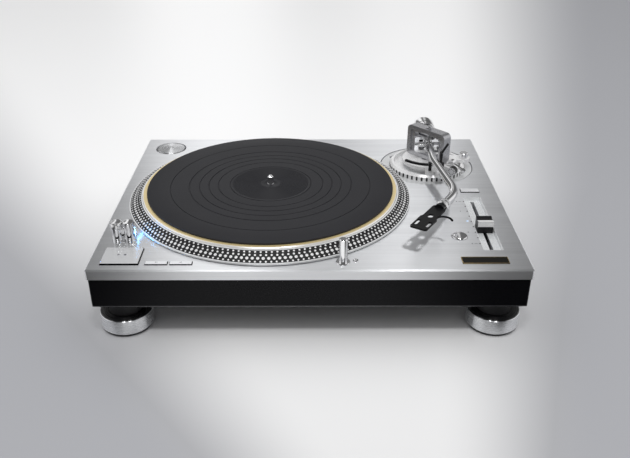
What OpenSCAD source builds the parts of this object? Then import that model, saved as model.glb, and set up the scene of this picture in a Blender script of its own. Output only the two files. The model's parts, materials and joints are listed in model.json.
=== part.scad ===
// Direct-drive turntable with an S-shaped pickup arm.
// Millimetres, +Z up, +Y away from the front. The origin is on the floor under the middle of the box.

/* [Chassis] */
// Width of the top plate
plate_w = 453; // [445:1:500]
// Depth of the top plate
plate_d = 353; // [345:1:400]
// Thickness of the top plate
plate_t = 11.4; // [10.5:0.1:16]
// Bevel along the plate's top edges
plate_bevel = 1.5; // [0.5:0.1:3]
// Corner radius of the plate and the cabinet
plate_corner = 3; // [1:0.5:6]
// Height of the cabinet under the plate
cabinet_h = 32.35; // [31:0.05:60]
// Step from the plate's edge in to the cabinet
cabinet_inset = 1.5; // [0.5:0.1:4]
// Wall of the cabinet
cabinet_wall = 6; // [4:0.5:8]
// Deck of the cabinet, under the plate
deck_t = 5; // [4:0.5:7]
// Thickness of the rubber base
base_t = 6.75; // [5:0.25:12]
// How far the base's chamfer runs in
base_chamfer = 7.5; // [3:0.5:9]
// How far the hinge sockets reach behind the plate
socket_reach = 19; // [15:1:26]

/* [Feet] */
// Height of a foot, from the floor to the base
foot_h = 36; // [30:1:45]
// Radius of a foot's levelling ring
foot_r = 28.1; // [22:0.1:30]
// Height of a foot's levelling ring
foot_ring_h = 18.4; // [12:0.2:22]
// Radius of a foot's stem inside the ring
foot_stem_r = 16; // [10:0.5:17]
// Height of the floor pad
foot_pad_h = 2.8; // [2:0.2:6]
// Foot centre from the plate's side edge
foot_from_side = 28.6; // [28:0.2:60]
// Foot centre from the plate's front or back edge
foot_from_front = 32; // [30:1:60]

/* [Platter and motor] */
// Spindle centre to the right of the middle
spindle_x = -47; // [-60:0.5:-40]
// Spindle centre from the plate's front edge
spindle_from_front = 172.5; // [170:0.5:185]
// Radius of the platter's rim
platter_r = 166; // [160:0.5:168]
// Radius of the platter's brass top layer
brass_r = 150.3; // [146:0.1:151]
// Radius of the mat
mat_r = 145; // [135:0.5:146]
// Thickness of the mat
mat_t = 2.7; // [2:0.1:6]
// Thickness of the brass layer
brass_t = 3; // [2:0.1:5]
// Thickness of the platter's web
web_t = 5; // [4:0.2:8]
// Gap from the plate up to the platter's rim
rim_gap = 1.6; // [1:0.1:4]
// Radius of the spindle above the mat
spindle_r = 3.575; // [3:0.025:4]
// Height of the spindle above the mat
spindle_up = 10.7; // [8:0.1:16]
// Radius of the shaft in its bearing
shaft_r = 5; // [4.5:0.1:7]
// Radius of the motor opening in the plate
motor_bore_r = 72; // [68:0.5:78]
// Outer radius of the rotor magnet
magnet_r = 53; // [45:0.5:58]
// Number of stator coils
coil_count = 9; // [6:3:9]

/* [Keys] */
// Width of the start and stop key
start_w = 39.5; // [30:0.5:44]
// Depth of the start and stop key
start_d = 33; // [24:0.5:36]
// Height of the start and stop key over the plate
start_up = 2; // [1.7:0.1:4]
// Width of a speed key
speed_w = 23; // [16:0.5:24]
// Depth of a speed key
speed_d = 6.6; // [6:0.2:9]
// Width of the pitch range key
range_w = 22.4; // [14:0.4:28]
// Depth of the pitch range key
range_d = 9.2; // [7:0.2:12]
// Radius of the round pitch reset key
reset_r = 8.5; // [5:0.25:10]
// Height of the small keys over the plate
key_up = 1.4; // [1.3:0.1:3]
// Height of the reset key over the plate
reset_up = 3; // [1.5:0.1:5]
// Travel of a key
key_travel = 1.2; // [0.6:0.1:1.2]

/* [Strobe, light, adapter and fader] */
// Radius of the strobe column
strobe_r = 6; // [5:0.1:6.5]
// Height of the strobe column
strobe_h = 22.5; // [14:0.5:30]
// Radius of the power knob
power_r = 6.6; // [5:0.1:7]
// Height of the power knob
power_h = 7; // [4:0.5:10]
// Radius of the stylus light column
light_r = 4.5; // [3:0.1:6]
// Height of the stylus light over the plate when it is pushed down
light_proud = 3.5; // [2:0.5:6]
// Travel of the stylus light
light_travel = 24; // [10:0.5:24]
// Radius of the single-record adapter
adapter_r = 19.05; // [15:0.05:19.5]
// Gap round the adapter in its recess
recess_gap = 1.45; // [0.5:0.05:3]
// Depth of the adapter's recess
recess_d = 8; // [5:0.2:9]
// Width of the fader trough
trough_w = 21; // [18:0.5:26]
// Length of the fader trough
trough_l = 126; // [122:1:130]
// Depth of the fader trough
trough_d = 4.3; // [3:0.1:6]
// Width of the fader knob
fader_w = 17; // [10:0.5:17.5]
// Length of the fader knob
fader_l = 15; // [8:0.5:16]
// Height of the fader knob over the plate
fader_up = 10; // [5:0.5:14]
// Width of the fader slot
slot_w = 4; // [2.6:0.2:5]

/* [Arm] */
// Gap from the platter's rim to the height ring
ring_clear = 1; // [1:0.5:4]
// Bearing of the pivot from the spindle, in degrees from +X
pivot_bearing = 22.94; // [20:0.01:24]
// Height of the arm over the plate
arm_z = 32.5; // [32:0.1:40]
// Radius of the arm base disc
arm_base_r = 58.4; // [56:0.2:59]
// Outer radius of the height ring
ring_r = 48; // [46:0.2:48]
// Height of the height ring
ring_h = 8.4; // [7:0.2:9]
// Travel of the arm's height setting
arm_lift = 6; // [3:0.5:6]
// Radius of the sliding arm column
column_r = 24; // [18:0.5:25]
// Width of the bearing frame
frame_w = 60; // [58:1:64]
// Height of the bearing frame
frame_h = 40; // [38:0.5:44]
// Depth of the bearing frame
frame_d = 13; // [12:0.5:17]
// Width of the bearing frame's opening
frame_hole_w = 40; // [39:0.5:44]
// Height of the bearing frame's opening
frame_hole_h = 24; // [23:0.5:28]
// Radius of the arm tube
tube_r = 4.8; // [4:0.1:5]
// Wall of the arm tube
tube_wall = 0.8; // [0.5:0.1:1.5]
// From the pivot to the first bend
arm_first = 55; // [52:0.5:60]
// From the first bend to the second bend
arm_second = 91.3; // [80:0.1:95]
// From the second bend to the headshell's front
arm_third = 101; // [98:0.5:106]
// Angle of the first bend
bend_one = 9; // [4:0.5:12]
// Angle of the second bend
bend_two = 40; // [30:0.5:44]
// Width of the headshell
shell_w = 18.5; // [17:0.5:22]
// Length of the headshell
shell_l = 56; // [48:0.5:60]
// Thickness of the headshell's plate
shell_t = 2; // [2:0.2:4]
// Spacing of the cartridge slots
cartridge_slot_spacing = 12.7; // [11:0.1:12.7]
// Radius of the lock nut
nut_r = 6.4; // [6:0.1:8]
// Radius of the counterweight
weight_r = 14; // [12:0.5:16.5]
// Length of the counterweight
weight_l = 24; // [18:0.5:29]
// Radius of the stylus pressure dial
dial_r = 12.5; // [10:0.5:12.5]
// Length of the stylus pressure dial
dial_l = 5.5; // [4:0.5:6]

/* [Hidden] */
$fn = 96;

// Clearances: a running fit, a press fit, a loose fit round a key, and a gap between passing faces
run_gap = 0.05;
press_gap = 0.02;
key_gap = 0.4;
pass_gap = 0.3;
// How far a cutter runs past the face that it cuts
over = 1;

// Levels of the chassis
base_bottom = foot_h;
cabinet_bottom = base_bottom + base_t;
plate_bottom = cabinet_bottom + cabinet_h;
plate_top = plate_bottom + plate_t;
deck_bottom = plate_bottom - deck_t;
plate_front = -(plate_d + socket_reach) / 2;
plate_back = plate_front + plate_d;
plate_mid = (plate_front + plate_back) / 2;
cabinet_back = plate_back - cabinet_inset;

// Places along the plate
left = -plate_w / 2;
right = plate_w / 2;
function from_front(y) = plate_front + y;
spindle = [spindle_x, from_front(spindle_from_front)];
pivot_distance = platter_r + ring_clear + ring_r;
pivot = spindle + polar(pivot_distance, pivot_bearing);
start_at = [left + 32.75, from_front(27)];
speed_33_at = [left + 70.4, from_front(13.7)];
speed_45_at = [left + 95.5, from_front(13.7)];
range_at = [right - 32.9, from_front(183.2)];
reset_at = [right - 64.5, from_front(69.5)];
strobe_clear = 11;
strobe_bearing = -142.5;
strobe_at = spindle + polar(platter_r + strobe_clear + strobe_r, strobe_bearing);
power_at = strobe_at - [13, 1];
light_at = [34, from_front(16)];
release_at = [47, from_front(19)];
adapter_at = [left + 35.5, from_front(319)];
trough_at = [right - 33.6, from_front(103)];
fader_at = trough_at - [0, 11.5];
badge_at = [right - 46.9, from_front(18.35)];

// Boards under the deck
board_t = 1.6;
board_top = plate_top - 26;
switch_h = 5;
switch_w = 8;
switch_gap = 0.2;
stem_r = 2.5;
board_post_r = 3;
board_margin = 5;
control_at = [left + 62.5, from_front(29)];
control_size = [104, 38];
pitch_at = [right - 48, from_front(115)];
pitch_size = [72, 160];

// Platter and motor levels
rim_bottom = plate_top + rim_gap;
rim_lip = 1.8;
web_bottom = plate_top + 5.2;
web_top = web_bottom + web_t;
brass_top = web_top + brass_t;
mat_top = brass_top + mat_t;
lip_edge = 0.8;
rim_w = 7;
rim_root = 4;
crest_h = 1.2;
crest_w = 1;
mat_hole_r = spindle_r + key_gap;
hub_r = 14;
hub_bottom = plate_top - 9.6;
rotor_flange_t = 3;
magnet_t = 7;
magnet_edge = 2;
magnet_inner_r = 27;
coil_gap = 0.8;
coil_h = 6;
coil_r = 11;
coil_bore_r = 4;
coil_ring_r = 40;
coil_top = hub_bottom - magnet_t - coil_gap;
motor_floor = coil_top - coil_h;
motor_floor_t = 3;
motor_wall_t = 4;
motor_flange_w = 10;
motor_flange_t = 3;
motor_wall_r = motor_bore_r - motor_wall_t;
bearing_seat = motor_floor - motor_floor_t;
spindle_flange_r = 9;
spindle_flange_t = 3;
bearing_r = 11;
bearing_lip_r = 14;
bearing_lip_t = 2;
bearing_top = hub_bottom - spindle_flange_t - pass_gap;
shaft_tail = 10;
bearing_floor = 2;
shaft_bottom = bearing_seat - shaft_tail;
bearing_bottom = shaft_bottom - bearing_floor;

// Keys
key_body = 6;
key_corner = 1;
stem_bottom = board_top + switch_h + key_travel + switch_gap;

// Rubber base, and its screws as measured from the left or right edge and the front
base_edge = 0.8;
screw_r = 2;
screw_head_r = 4;
screw_head_h = 2.4;
screw_sink = 3;
screw_bite = 12;
screw_boss_r = 5;
screw_places = [[left + 76, from_front(75)], [left + 26, from_front(180)], [left + 196, from_front(322)],
    [right - 166, from_front(40)], [right - 125, from_front(305)], [right - 20, from_front(212)]];
foot_places = [[left + foot_from_side, plate_front + foot_from_front],
    [right - foot_from_side, plate_front + foot_from_front],
    [left + foot_from_side, plate_back - foot_from_front],
    [right - foot_from_side, plate_back - foot_from_front]];

// Arm levels and angles
arm_heading = -91;
frame_heading = -138;
arm_axis_z = plate_top + arm_z;
well_back = 5;
well_gap = 1.2;
well_d = 8.5;
well_at = pivot + [0, well_back];
arm_base_sink = 0.5;
arm_base_top = plate_top - arm_base_sink;
sleeve_wall = 6;
sleeve_r = column_r + sleeve_wall;
sleeve_l = 30;
sleeve_bottom = plate_top - sleeve_l;
boss_h = 2.5;
ring_gap = 0.1;
ring_wall = 5;
ring_edge = 2.5;
ring_flange_t = 1.8;
ring_bottom = arm_base_top + ring_gap;
ring_top = ring_bottom + ring_h;
deck_r = 32;
frame_foot = arm_axis_z - frame_h / 2;
deck_low = ring_top + pass_gap;
column_bottom = sleeve_bottom - arm_lift;
wire_bore_r = 8;
pin_r = 2;
gimbal_w = 36;
gimbal_h = 21;
gimbal_d = 10;
gimbal_corner = 4;
gimbal_hole_w = 26;
gimbal_hole_h = 14;
axle_short = 0.5;
block_wall = 1;
block_r = tube_r + block_wall;
block_half = 8;
rear_r = 4;
bush_r = 7;
weight_gap = 0.5;
dial_front = 31;
weight_front = dial_front + dial_l + weight_gap;
weight_back = weight_front + weight_l;
bush_proud = 0.5;
shaft_tail_l = 8;
shaft_end = weight_back + shaft_tail_l;
bend_one_r = 100;
bend_two_r = 55;
nut_l = 11;
nut_to_shell = 3;
tube_in_nut = 5;
plug_r = 4;
nut_from = arm_third - shell_l - nut_to_shell - nut_l;
tube_end = nut_from + tube_in_nut;

// Things on the arm platform, measured from the pivot
lock_at = [47, 1];
lock_r = 5.5;
lock_h = 6.5;
cue_at = [27, -25];
cue_heading = -38;
cue_drop = 20;
cue_l = 18;
cue_hub_r = 4;
cue_lug_t = 3;
cue_bar = [3.2, 2];
cue_tip_r = 3;
hub_l = 5;
lug_r = 4;
lug_t = 4;
lug_rise = 1;
skate_at = [25.5, -44];
skate_heading = -122;
skate_r = 5.2;
skate_l = 8;
skate_gap = 0.2;
post_gap = 1;
lifter_r = ring_r - ring_wall - pin_r - post_gap;
lifter_span = 56;
lifter_past = 6;
lifter_start = arm_heading - lifter_span + lifter_past;
lifter_w = 3;
lifter_t = 2.5;
lifter_rise = 6;
lifter_top = arm_axis_z - tube_r - pass_gap - lifter_rise;
post_off = 2;
post_tail = 4;
lifter_post = arm_heading - post_off;
rest_reach = 50;
rest_side = 11;
rest_bar_w = 6;
rest_bar_t = 3;
rest_top = arm_axis_z - tube_r - pass_gap;
rest_bar_l = 16;
rest_wall = 3;
rest_post_r = 3;
clip_up = 2;
clip_z = arm_axis_z + tube_r + clip_up;
clip_r = 1.6;
clip_bar_r = 1.1;
clip_l = 14;
clip_pin_r = 0.8;
clip_open = 60;
ear_t = 1.5;
ear_root = 3;
lock_lobe_r = 8;
pin_lobe_r = 6;

// Flat outlines and slabs

module rounded(w, d, r) {
    square([w - 2 * r, d], center = true);
    square([w, d - 2 * r], center = true);
    for (x = [-1, 1], y = [-1, 1]) translate([x * (w / 2 - r), y * (d / 2 - r)]) circle(r);
}

module stadium(w, d) {
    square([w - d, d], center = true);
    for (x = [-1, 1]) translate([x * (w - d) / 2, 0]) circle(d / 2);
}

// A wedge along X that cuts a top edge: in along Y, down along Z
module edge_wedge(length, in, down) {
    past = 0.2;
    rotate([90, 0, 90]) linear_extrude(length, center = true)
        polygon([[-in * (1 + past), down * past], [in * past, down * past], [in * past, -down * (1 + past)]]);
}

// A slab with its foot at z = 0 and bevelled top edges
module slab(w, d, t, r, in, down) {
    difference() {
        linear_extrude(t) rounded(w, d, r);
        for (turn = [0 : 3]) rotate(90 * turn)
            translate([0, (turn % 2 == 0 ? d : w) / 2, t]) edge_wedge(w + d, in, down);
    }
}

module ring(outer, inner, h) {
    difference() {
        cylinder(r = outer, h = h);
        translate([0, 0, -over]) cylinder(r = inner, h = h + 2 * over);
    }
}

module spot(p, z) {
    translate([p[0], p[1], z]) children();
}

// A cutter from below z_low up past z_high
module drill(p, r, z_low, z_high) {
    spot(p, z_low - over) cylinder(r = r, h = z_high - z_low + 2 * over);
}

module box_drill(p, w, d, z_low, z_high) {
    spot(p, z_low) linear_extrude(z_high - z_low + over) square([w, d], center = true);
}

// Chassis

// Everything that passes through both the plate and the cabinet's deck
module through_holes() {
    drill(spindle, motor_bore_r, deck_bottom, plate_top);
    drill(pivot, sleeve_r + run_gap, deck_bottom, plate_top);
    drill(light_at, light_sleeve_r + run_gap, deck_bottom, plate_top);
    drill(release_at, release_r + run_gap, deck_bottom, plate_top);
    drill(power_at, stem_r + run_gap, deck_bottom, plate_top);
    box_drill(trough_at, slot_w, fader_slot_l, deck_bottom - over, plate_top);
}

module top_plate() color("#b9bbbf") difference() {
    spot([0, plate_mid], plate_bottom)
        slab(plate_w, plate_d, plate_t, plate_corner, plate_bevel, plate_bevel);
    through_holes();
    spot(well_at, plate_top - well_d) cylinder(r = arm_base_r + well_gap, h = well_d + over);
    spot(adapter_at, plate_top - recess_d) cylinder(r = adapter_r + recess_gap, h = recess_d + over);
    box_drill(start_at, start_w + 2 * key_gap, start_d + 2 * key_gap, plate_bottom - over, plate_top);
    for (p = [speed_33_at, speed_45_at])
        box_drill(p, speed_w + 2 * key_gap, speed_d + 2 * key_gap, plate_bottom - over, plate_top);
    box_drill(range_at, range_w + 2 * key_gap, range_d + 2 * key_gap, plate_bottom - over, plate_top);
    drill(reset_at, reset_r + key_gap, plate_bottom, plate_top);
    box_drill(trough_at, trough_w, trough_l, liner_top - liner_t, plate_top);
}

// Panels in the cabinet's back wall: the seat of a panel, and the window behind it
panel_at = 85;
panel_z = (cabinet_bottom + deck_bottom) / 2;
panel_h = 22;
panel_w = 70;
panel_t = 2;
panel_lip = [4, 3];
inlet_w = 34;
module wall_pocket(x, w, h) translate([x, cabinet_back, panel_z]) {
    cube([w, 2 * panel_t, h], center = true);
    cube([w - 2 * panel_lip[0], 4 * cabinet_wall, h - 2 * panel_lip[1]], center = true);
}

module cabinet() color("#161618") difference() {
    union() {
        difference() {
            spot([0, plate_mid], cabinet_bottom) linear_extrude(cabinet_h)
                rounded(plate_w - 2 * cabinet_inset, plate_d - 2 * cabinet_inset, plate_corner);
            box_drill([0, plate_mid], plate_w - 2 * cabinet_inset - 2 * cabinet_wall,
                plate_d - 2 * cabinet_inset - 2 * cabinet_wall, cabinet_bottom - over, deck_bottom - over);
        }
        for (p = screw_places) spot(p, cabinet_bottom)
            cylinder(r = screw_boss_r, h = deck_bottom - cabinet_bottom + over);
        board_posts(control_at, control_size);
        board_posts(pitch_at, pitch_size);
    }
    through_holes();
    for (p = [start_at, speed_33_at, speed_45_at, range_at, reset_at])
        drill(p, stem_r + run_gap, deck_bottom, plate_bottom);
    for (p = screw_places) drill(p, screw_r + run_gap, cabinet_bottom, cabinet_bottom + screw_bite);
    wall_pocket(panel_at, panel_w, panel_h);
    wall_pocket(-panel_at, inlet_w, panel_h);
}

// Posts that hang from the deck and hold a board by its corners
module board_posts(at, size) {
    for (x = [-1, 1], y = [-1, 1])
        spot(at + [x * (size[0] / 2 - board_margin), y * (size[1] / 2 - board_margin)], board_top)
            cylinder(r = board_post_r, h = deck_bottom - board_top + over);
}

module rubber_base() color("#232326") difference() {
    spot([0, plate_mid], cabinet_bottom) mirror([0, 0, 1])
        slab(plate_w - 2 * cabinet_inset, plate_d - 2 * cabinet_inset, base_t, plate_corner,
            base_chamfer, base_t - base_edge);
    for (p = screw_places) {
        drill(p, screw_r + run_gap, base_bottom, cabinet_bottom);
        drill(p, screw_head_r + pass_gap, base_bottom, base_bottom + screw_sink - over);
    }
}

module base_screws() color("#3a3a3c") for (p = screw_places) {
    spot(p, base_bottom + screw_sink - screw_head_h) cylinder(r = screw_head_r, h = screw_head_h);
    spot(p, base_bottom + screw_sink) cylinder(r = screw_r, h = cabinet_bottom + screw_bite - over
        - base_bottom - screw_sink);
}

// Rubber core of a foot: floor pad, stem through the ring, and collar up to the base
module foot_cores() color("#101011") for (p = foot_places) spot(p, 0) {
    pad_in = [3, 1.6];
    collar_w = 2;
    collar_z = foot_pad_h + foot_ring_h + 2 * pass_gap;
    collar_r = min(foot_stem_r + collar_w, foot_from_side - cabinet_inset - base_chamfer);
    rotate_extrude() polygon([[0, 0], [foot_r - pad_in[0], 0], [foot_r - pad_in[1], foot_pad_h],
        [foot_stem_r, foot_pad_h],
        [foot_stem_r, collar_z], [collar_r, collar_z], [collar_r, foot_h], [0, foot_h]]);
}

module foot_ring(k) color("#c4c5c8") spot(foot_places[k], foot_pad_h + pass_gap) {
    edge = 1.4;
    bore = foot_stem_r + run_gap;
    rotate_extrude() polygon([[bore, 0], [foot_r - edge, 0], [foot_r, edge], [foot_r, foot_ring_h - edge],
        [foot_r - edge, foot_ring_h], [bore, foot_ring_h]]);
}
module foot_ring_front_left() foot_ring(0);
module foot_ring_front_right() foot_ring(1);
module foot_ring_rear_left() foot_ring(2);
module foot_ring_rear_right() foot_ring(3);

// Sockets that take the hinge blades of a dust cover
socket_at = 165;
socket_drop = 2;
socket_w = 36;
socket_h = 24;
socket_top = plate_bottom - socket_drop;
blade_w = 26;
blade_t = 7;
blade_depth = 18;
module hinge_sockets() color("#1a1a1c") for (side = [-1, 1]) difference() {
    translate([side * socket_at - socket_w / 2, cabinet_back, socket_top - socket_h])
        cube([socket_w, socket_reach + cabinet_inset, socket_h]);
    translate([side * socket_at - blade_w / 2, cabinet_back + (socket_reach + cabinet_inset - blade_t) / 2,
        socket_top - blade_depth]) cube([blade_w, blade_t, blade_depth + over]);
}

// Back of the cabinet

module terminal_panel() color("#2b2b2e") difference() {
    translate([panel_at, cabinet_back - panel_t / 2, panel_z])
        cube([panel_w - key_gap, panel_t, panel_h - key_gap], center = true);
    for (x = terminal_places) translate([panel_at + x, cabinet_back, panel_z]) rotate([90, 0, 0])
        cylinder(r = terminal_bore_r, h = 4 * panel_t, center = true);
}
// Two phono jacks and an earth post, by their distance from the panel's middle
terminal_places = [-22, -6, 20];
jacks = 2;
terminal_bore_r = 3;
terminal_tail = 2;
terminal_collar_r = 6;
terminal_collar_t = 1.5;
jack_r = 4.15;
jack_l = 9;
jack_wall = 0.6;
jack_core_r = 1.6;
post_r = 4.5;
module terminal_place(k) translate([panel_at + terminal_places[k], cabinet_back, panel_z])
    rotate([-90, 0, 0]) children();
module phono_terminals() color("#c9a24a") for (k = [0 : len(terminal_places) - 1]) terminal_place(k) {
    translate([0, 0, -panel_t - terminal_tail])
        cylinder(r = terminal_bore_r - run_gap, h = panel_t + terminal_tail);
    difference() {
        union() {
            cylinder(r = terminal_collar_r, h = terminal_collar_t);
            cylinder(r = k < jacks ? jack_r : post_r, h = jack_l);
        }
        if (k < jacks) translate([0, 0, panel_t]) ring(jack_r - jack_wall, jack_core_r, jack_l);
    }
}

inlet_body = [24, 22, 15];
inlet_pit = [20, 15, 11];
module power_inlet() color("#1c1c1e") translate([-panel_at, cabinet_back, panel_z]) difference() {
    union() {
        translate([0, -panel_t / 2, 0])
            cube([inlet_w - key_gap, panel_t, panel_h - key_gap], center = true);
        translate([0, -inlet_body[1] / 2, 0]) cube(inlet_body, center = true);
    }
    translate([0, -inlet_pit[1] / 2 + over, 0])
        cube([inlet_pit[0], inlet_pit[1] + 2 * over, inlet_pit[2]], center = true);
}

supply_at = [left + 68, from_front(292)];
supply_size = [92, 78];
supply_foot_h = 4;
transformer = [38, 34, 14];
heat_sink = [24, 16, 9];
capacitor_r = 8;
capacitor_h = 13;
transformer_at = [-18, 8];
heat_sink_at = [26, 18];
capacitor_places = [[16, -14], [34, -14]];
module on_supply(p) translate([p[0], p[1], supply_foot_h + board_t]) children();
module block(size) linear_extrude(size[2]) square([size[0], size[1]], center = true);
module power_supply() color("#2f5a3c") spot(supply_at, cabinet_bottom) {
    for (x = [-1, 1], y = [-1, 1])
        translate([x * (supply_size[0] / 2 - board_margin), y * (supply_size[1] / 2 - board_margin), 0])
            cylinder(r = board_post_r, h = supply_foot_h);
    translate([0, 0, supply_foot_h]) block([supply_size[0], supply_size[1], board_t]);
    on_supply(transformer_at) block(transformer);
    on_supply(heat_sink_at) block(heat_sink);
    for (p = capacitor_places) on_supply(p) cylinder(r = capacitor_r, h = capacitor_h);
}

// Boards with the switches under the keys
module board(at, size, keys) {
    spot(at, board_top - board_t) linear_extrude(board_t) square(size, center = true);
    for (p = keys) spot(p, board_top) linear_extrude(switch_h) square(switch_w, center = true);
}
module control_board() color("#2f5a3c")
    board(control_at, control_size, [start_at, speed_33_at, speed_45_at]);
module pitch_board() color("#2f5a3c") board(pitch_at, pitch_size, [range_at, reset_at]);

// Motor, spindle and platter

module motor_frame() color("#8d8f93") spot(spindle, 0) rotate_extrude() polygon([
    [bearing_r + run_gap, bearing_seat], [motor_wall_r, bearing_seat],
    [motor_wall_r, deck_bottom - motor_flange_t],
    [motor_bore_r + motor_flange_w, deck_bottom - motor_flange_t],
    [motor_bore_r + motor_flange_w, deck_bottom], [motor_wall_r - motor_wall_t, deck_bottom],
    [motor_wall_r - motor_wall_t, motor_floor], [bearing_r + run_gap, motor_floor]]);

module stator_coils() color("#b8722c") for (k = [0 : coil_count - 1])
    spot(spindle, motor_floor) rotate(k * 360 / coil_count) translate([coil_ring_r, 0, 0])
        ring(coil_r, coil_bore_r, coil_h);

module bearing_housing() color("#b08d4a") spot(spindle, 0) rotate_extrude() polygon([
    [0, bearing_bottom], [bearing_r, bearing_bottom], [bearing_r, bearing_seat - bearing_lip_t],
    [bearing_lip_r, bearing_seat - bearing_lip_t], [bearing_lip_r, bearing_seat], [bearing_r, bearing_seat],
    [bearing_r, bearing_top], [shaft_r + run_gap, bearing_top], [shaft_r + run_gap, shaft_bottom - run_gap],
    [0, shaft_bottom - run_gap]]);

module spindle() color("#d8d9db") spot(spindle, 0) {
    top = mat_top + spindle_up;
    tip_h = 2.2;
    cap_h = 0.55;
    cap_in = 1.6;
    rotate_extrude() polygon([[0, shaft_bottom], [shaft_r, shaft_bottom],
        [shaft_r, hub_bottom - spindle_flange_t], [spindle_flange_r, hub_bottom - spindle_flange_t],
        [spindle_flange_r, hub_bottom], [shaft_r, hub_bottom], [shaft_r, web_top],
        [mat_hole_r - run_gap, web_top], [mat_hole_r - run_gap, mat_top], [spindle_r, mat_top],
        [spindle_r, top - tip_h], [spindle_r - cap_in, top - cap_h], [0, top]]);
}

module rotor_magnet() color("#4a4b4f") spot(spindle, hub_bottom - magnet_t)
    ring(magnet_r, magnet_inner_r, magnet_t);

module platter() color("#1d1d20") spot(spindle, 0) {
    bore = shaft_r + press_gap;
    crest_r = brass_r + pass_gap;
    rotate_extrude() polygon([[bore, hub_bottom], [magnet_r + magnet_edge, hub_bottom],
        [magnet_r + magnet_edge, hub_bottom + rotor_flange_t], [hub_r, hub_bottom + rotor_flange_t],
        [hub_r, web_bottom], [crest_r - rim_root, web_bottom], [platter_r - rim_w, rim_bottom],
        [platter_r, rim_bottom], [platter_r, rim_bottom + rim_lip],
        [platter_r - lip_edge, rim_bottom + rim_lip],
        [crest_r + crest_w, web_top + crest_h], [crest_r, web_top + crest_h], [crest_r, web_top],
        [bore, web_top]]);
}

module platter_brass_top() color("#c8a25a") spot(spindle, 0) {
    edge = 0.8;
    rotate_extrude() polygon([[mat_hole_r, web_top], [brass_r, web_top], [brass_r, brass_top - edge],
        [brass_r - edge, brass_top], [mat_hole_r, brass_top]]);
}

// Ring grooves of the mat, by radius
groove_radii = [48, 62, 73, 84, 96, 118];
groove_w = 1.2;
groove_d = 0.7;
module mat() color("#2a2a2d") spot(spindle, brass_top) difference() {
    edge = 0.7;
    rotate_extrude() polygon([[mat_hole_r, 0], [mat_r, 0], [mat_r, mat_t - edge], [mat_r - edge, mat_t],
        [mat_hole_r, mat_t]]);
    for (r = groove_radii) translate([0, 0, mat_t - groove_d])
        ring(r + groove_w / 2, r - groove_w / 2, mat_t);
}

// Keys

// A rectangular key: cap in its pocket, and a stem through the deck
module key(p, w, d, up) spot(p, 0) {
    soft = 0.6;
    translate([0, 0, plate_top - key_body]) slab(w, d, key_body + up, key_corner, soft, soft);
    translate([0, 0, stem_bottom]) cylinder(r = stem_r, h = plate_top - key_body - stem_bottom + over);
}
module start_stop_key() color("#c2c3c6") key(start_at, start_w, start_d, start_up);
module speed_33_key() color("#c2c3c6") key(speed_33_at, speed_w, speed_d, key_up);
module speed_45_key() color("#c2c3c6") key(speed_45_at, speed_w, speed_d, key_up);
module pitch_range_key() color("#c2c3c6") key(range_at, range_w, range_d, key_up);
module pitch_reset_key() color("#d4d5d8") spot(reset_at, 0) {
    soft = 0.8;
    rotate_extrude() polygon([[0, plate_top - key_body], [reset_r, plate_top - key_body],
        [reset_r, plate_top + reset_up - soft], [reset_r - soft, plate_top + reset_up],
        [0, plate_top + reset_up]]);
    translate([0, 0, stem_bottom]) cylinder(r = stem_r, h = plate_top - key_body - stem_bottom + over);
}

// Strobe and power knob

knob_over_strobe = 0.8;
knob_overhang = 1;
bridge_step = 1;
power_column_h = strobe_h + knob_over_strobe - power_h;
power_column_r = power_r - knob_overhang;
window_w = 5;
window_h = 10;
window_t = 2.2;
window_z = 6;
window_heading = 24;
module window_place() spot(strobe_at, plate_top) rotate(window_heading)
    translate([strobe_r - window_t, 0, window_z]) children();
module strobe_housing() color("#d0d1d4") difference() {
    union() {
        spot(strobe_at, plate_top) cylinder(r = strobe_r, h = strobe_h);
        spot(power_at, plate_top) cylinder(r = power_column_r, h = power_column_h);
        spot((strobe_at + power_at) / 2, plate_top) linear_extrude(power_column_h - bridge_step)
            square([strobe_at[0] - power_at[0], power_column_r], center = true);
    }
    drill(power_at, stem_r + run_gap, plate_top, plate_top + power_column_h);
    window_place() translate([0, -window_w / 2 - run_gap, -run_gap])
        cube([window_t + over, window_w + 2 * run_gap, window_h + 2 * run_gap]);
}
module strobe_window() color("#3d8bff") intersection() {
    window_place() translate([0, -window_w / 2, 0]) cube([window_t + over, window_w, window_h]);
    spot(strobe_at, plate_top) cylinder(r = strobe_r, h = strobe_h);
}
module power_knob() color("#dcdde0") spot(power_at, plate_top + power_column_h + pass_gap) {
    soft = 0.7;
    rotate_extrude() polygon([[0, 0], [power_r - soft, 0], [power_r, soft], [power_r, power_h - soft],
        [power_r - soft, power_h], [0, power_h]]);
    translate([0, 0, -power_column_h - plate_t]) cylinder(r = stem_r, h = power_column_h + plate_t + over);
}

// Stylus light

light_sleeve_wall = 1.5;
light_sleeve_r = light_r + light_sleeve_wall;
light_sleeve_tail = 4;
light_lip_w = 1.5;
light_lip_h = 1.2;
light_lip_edge = 0.6;
light_root = 8;
light_up = light_proud + light_travel;
module light_sleeve() color("#cfd0d3") spot(light_at, 0) rotate_extrude() polygon([
    [light_r + run_gap, deck_bottom - light_sleeve_tail], [light_sleeve_r, deck_bottom - light_sleeve_tail],
    [light_sleeve_r, plate_top], [light_sleeve_r + light_lip_w, plate_top],
    [light_sleeve_r + light_lip_w, plate_top + light_lip_h - light_lip_edge],
    [light_sleeve_r + light_lip_w - light_lip_edge, plate_top + light_lip_h],
    [light_r + run_gap, plate_top + light_lip_h]]);
module stylus_light() color("#e0e1e4") spot(light_at, 0) {
    soft = 1;
    rotate_extrude() polygon([[0, plate_top - light_root], [light_r, plate_top - light_root],
        [light_r, plate_top + light_up - soft], [light_r - soft, plate_top + light_up],
        [0, plate_top + light_up]]);
}
release_r = 3;
release_up = 1.3;
release_tail = 2;
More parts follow.
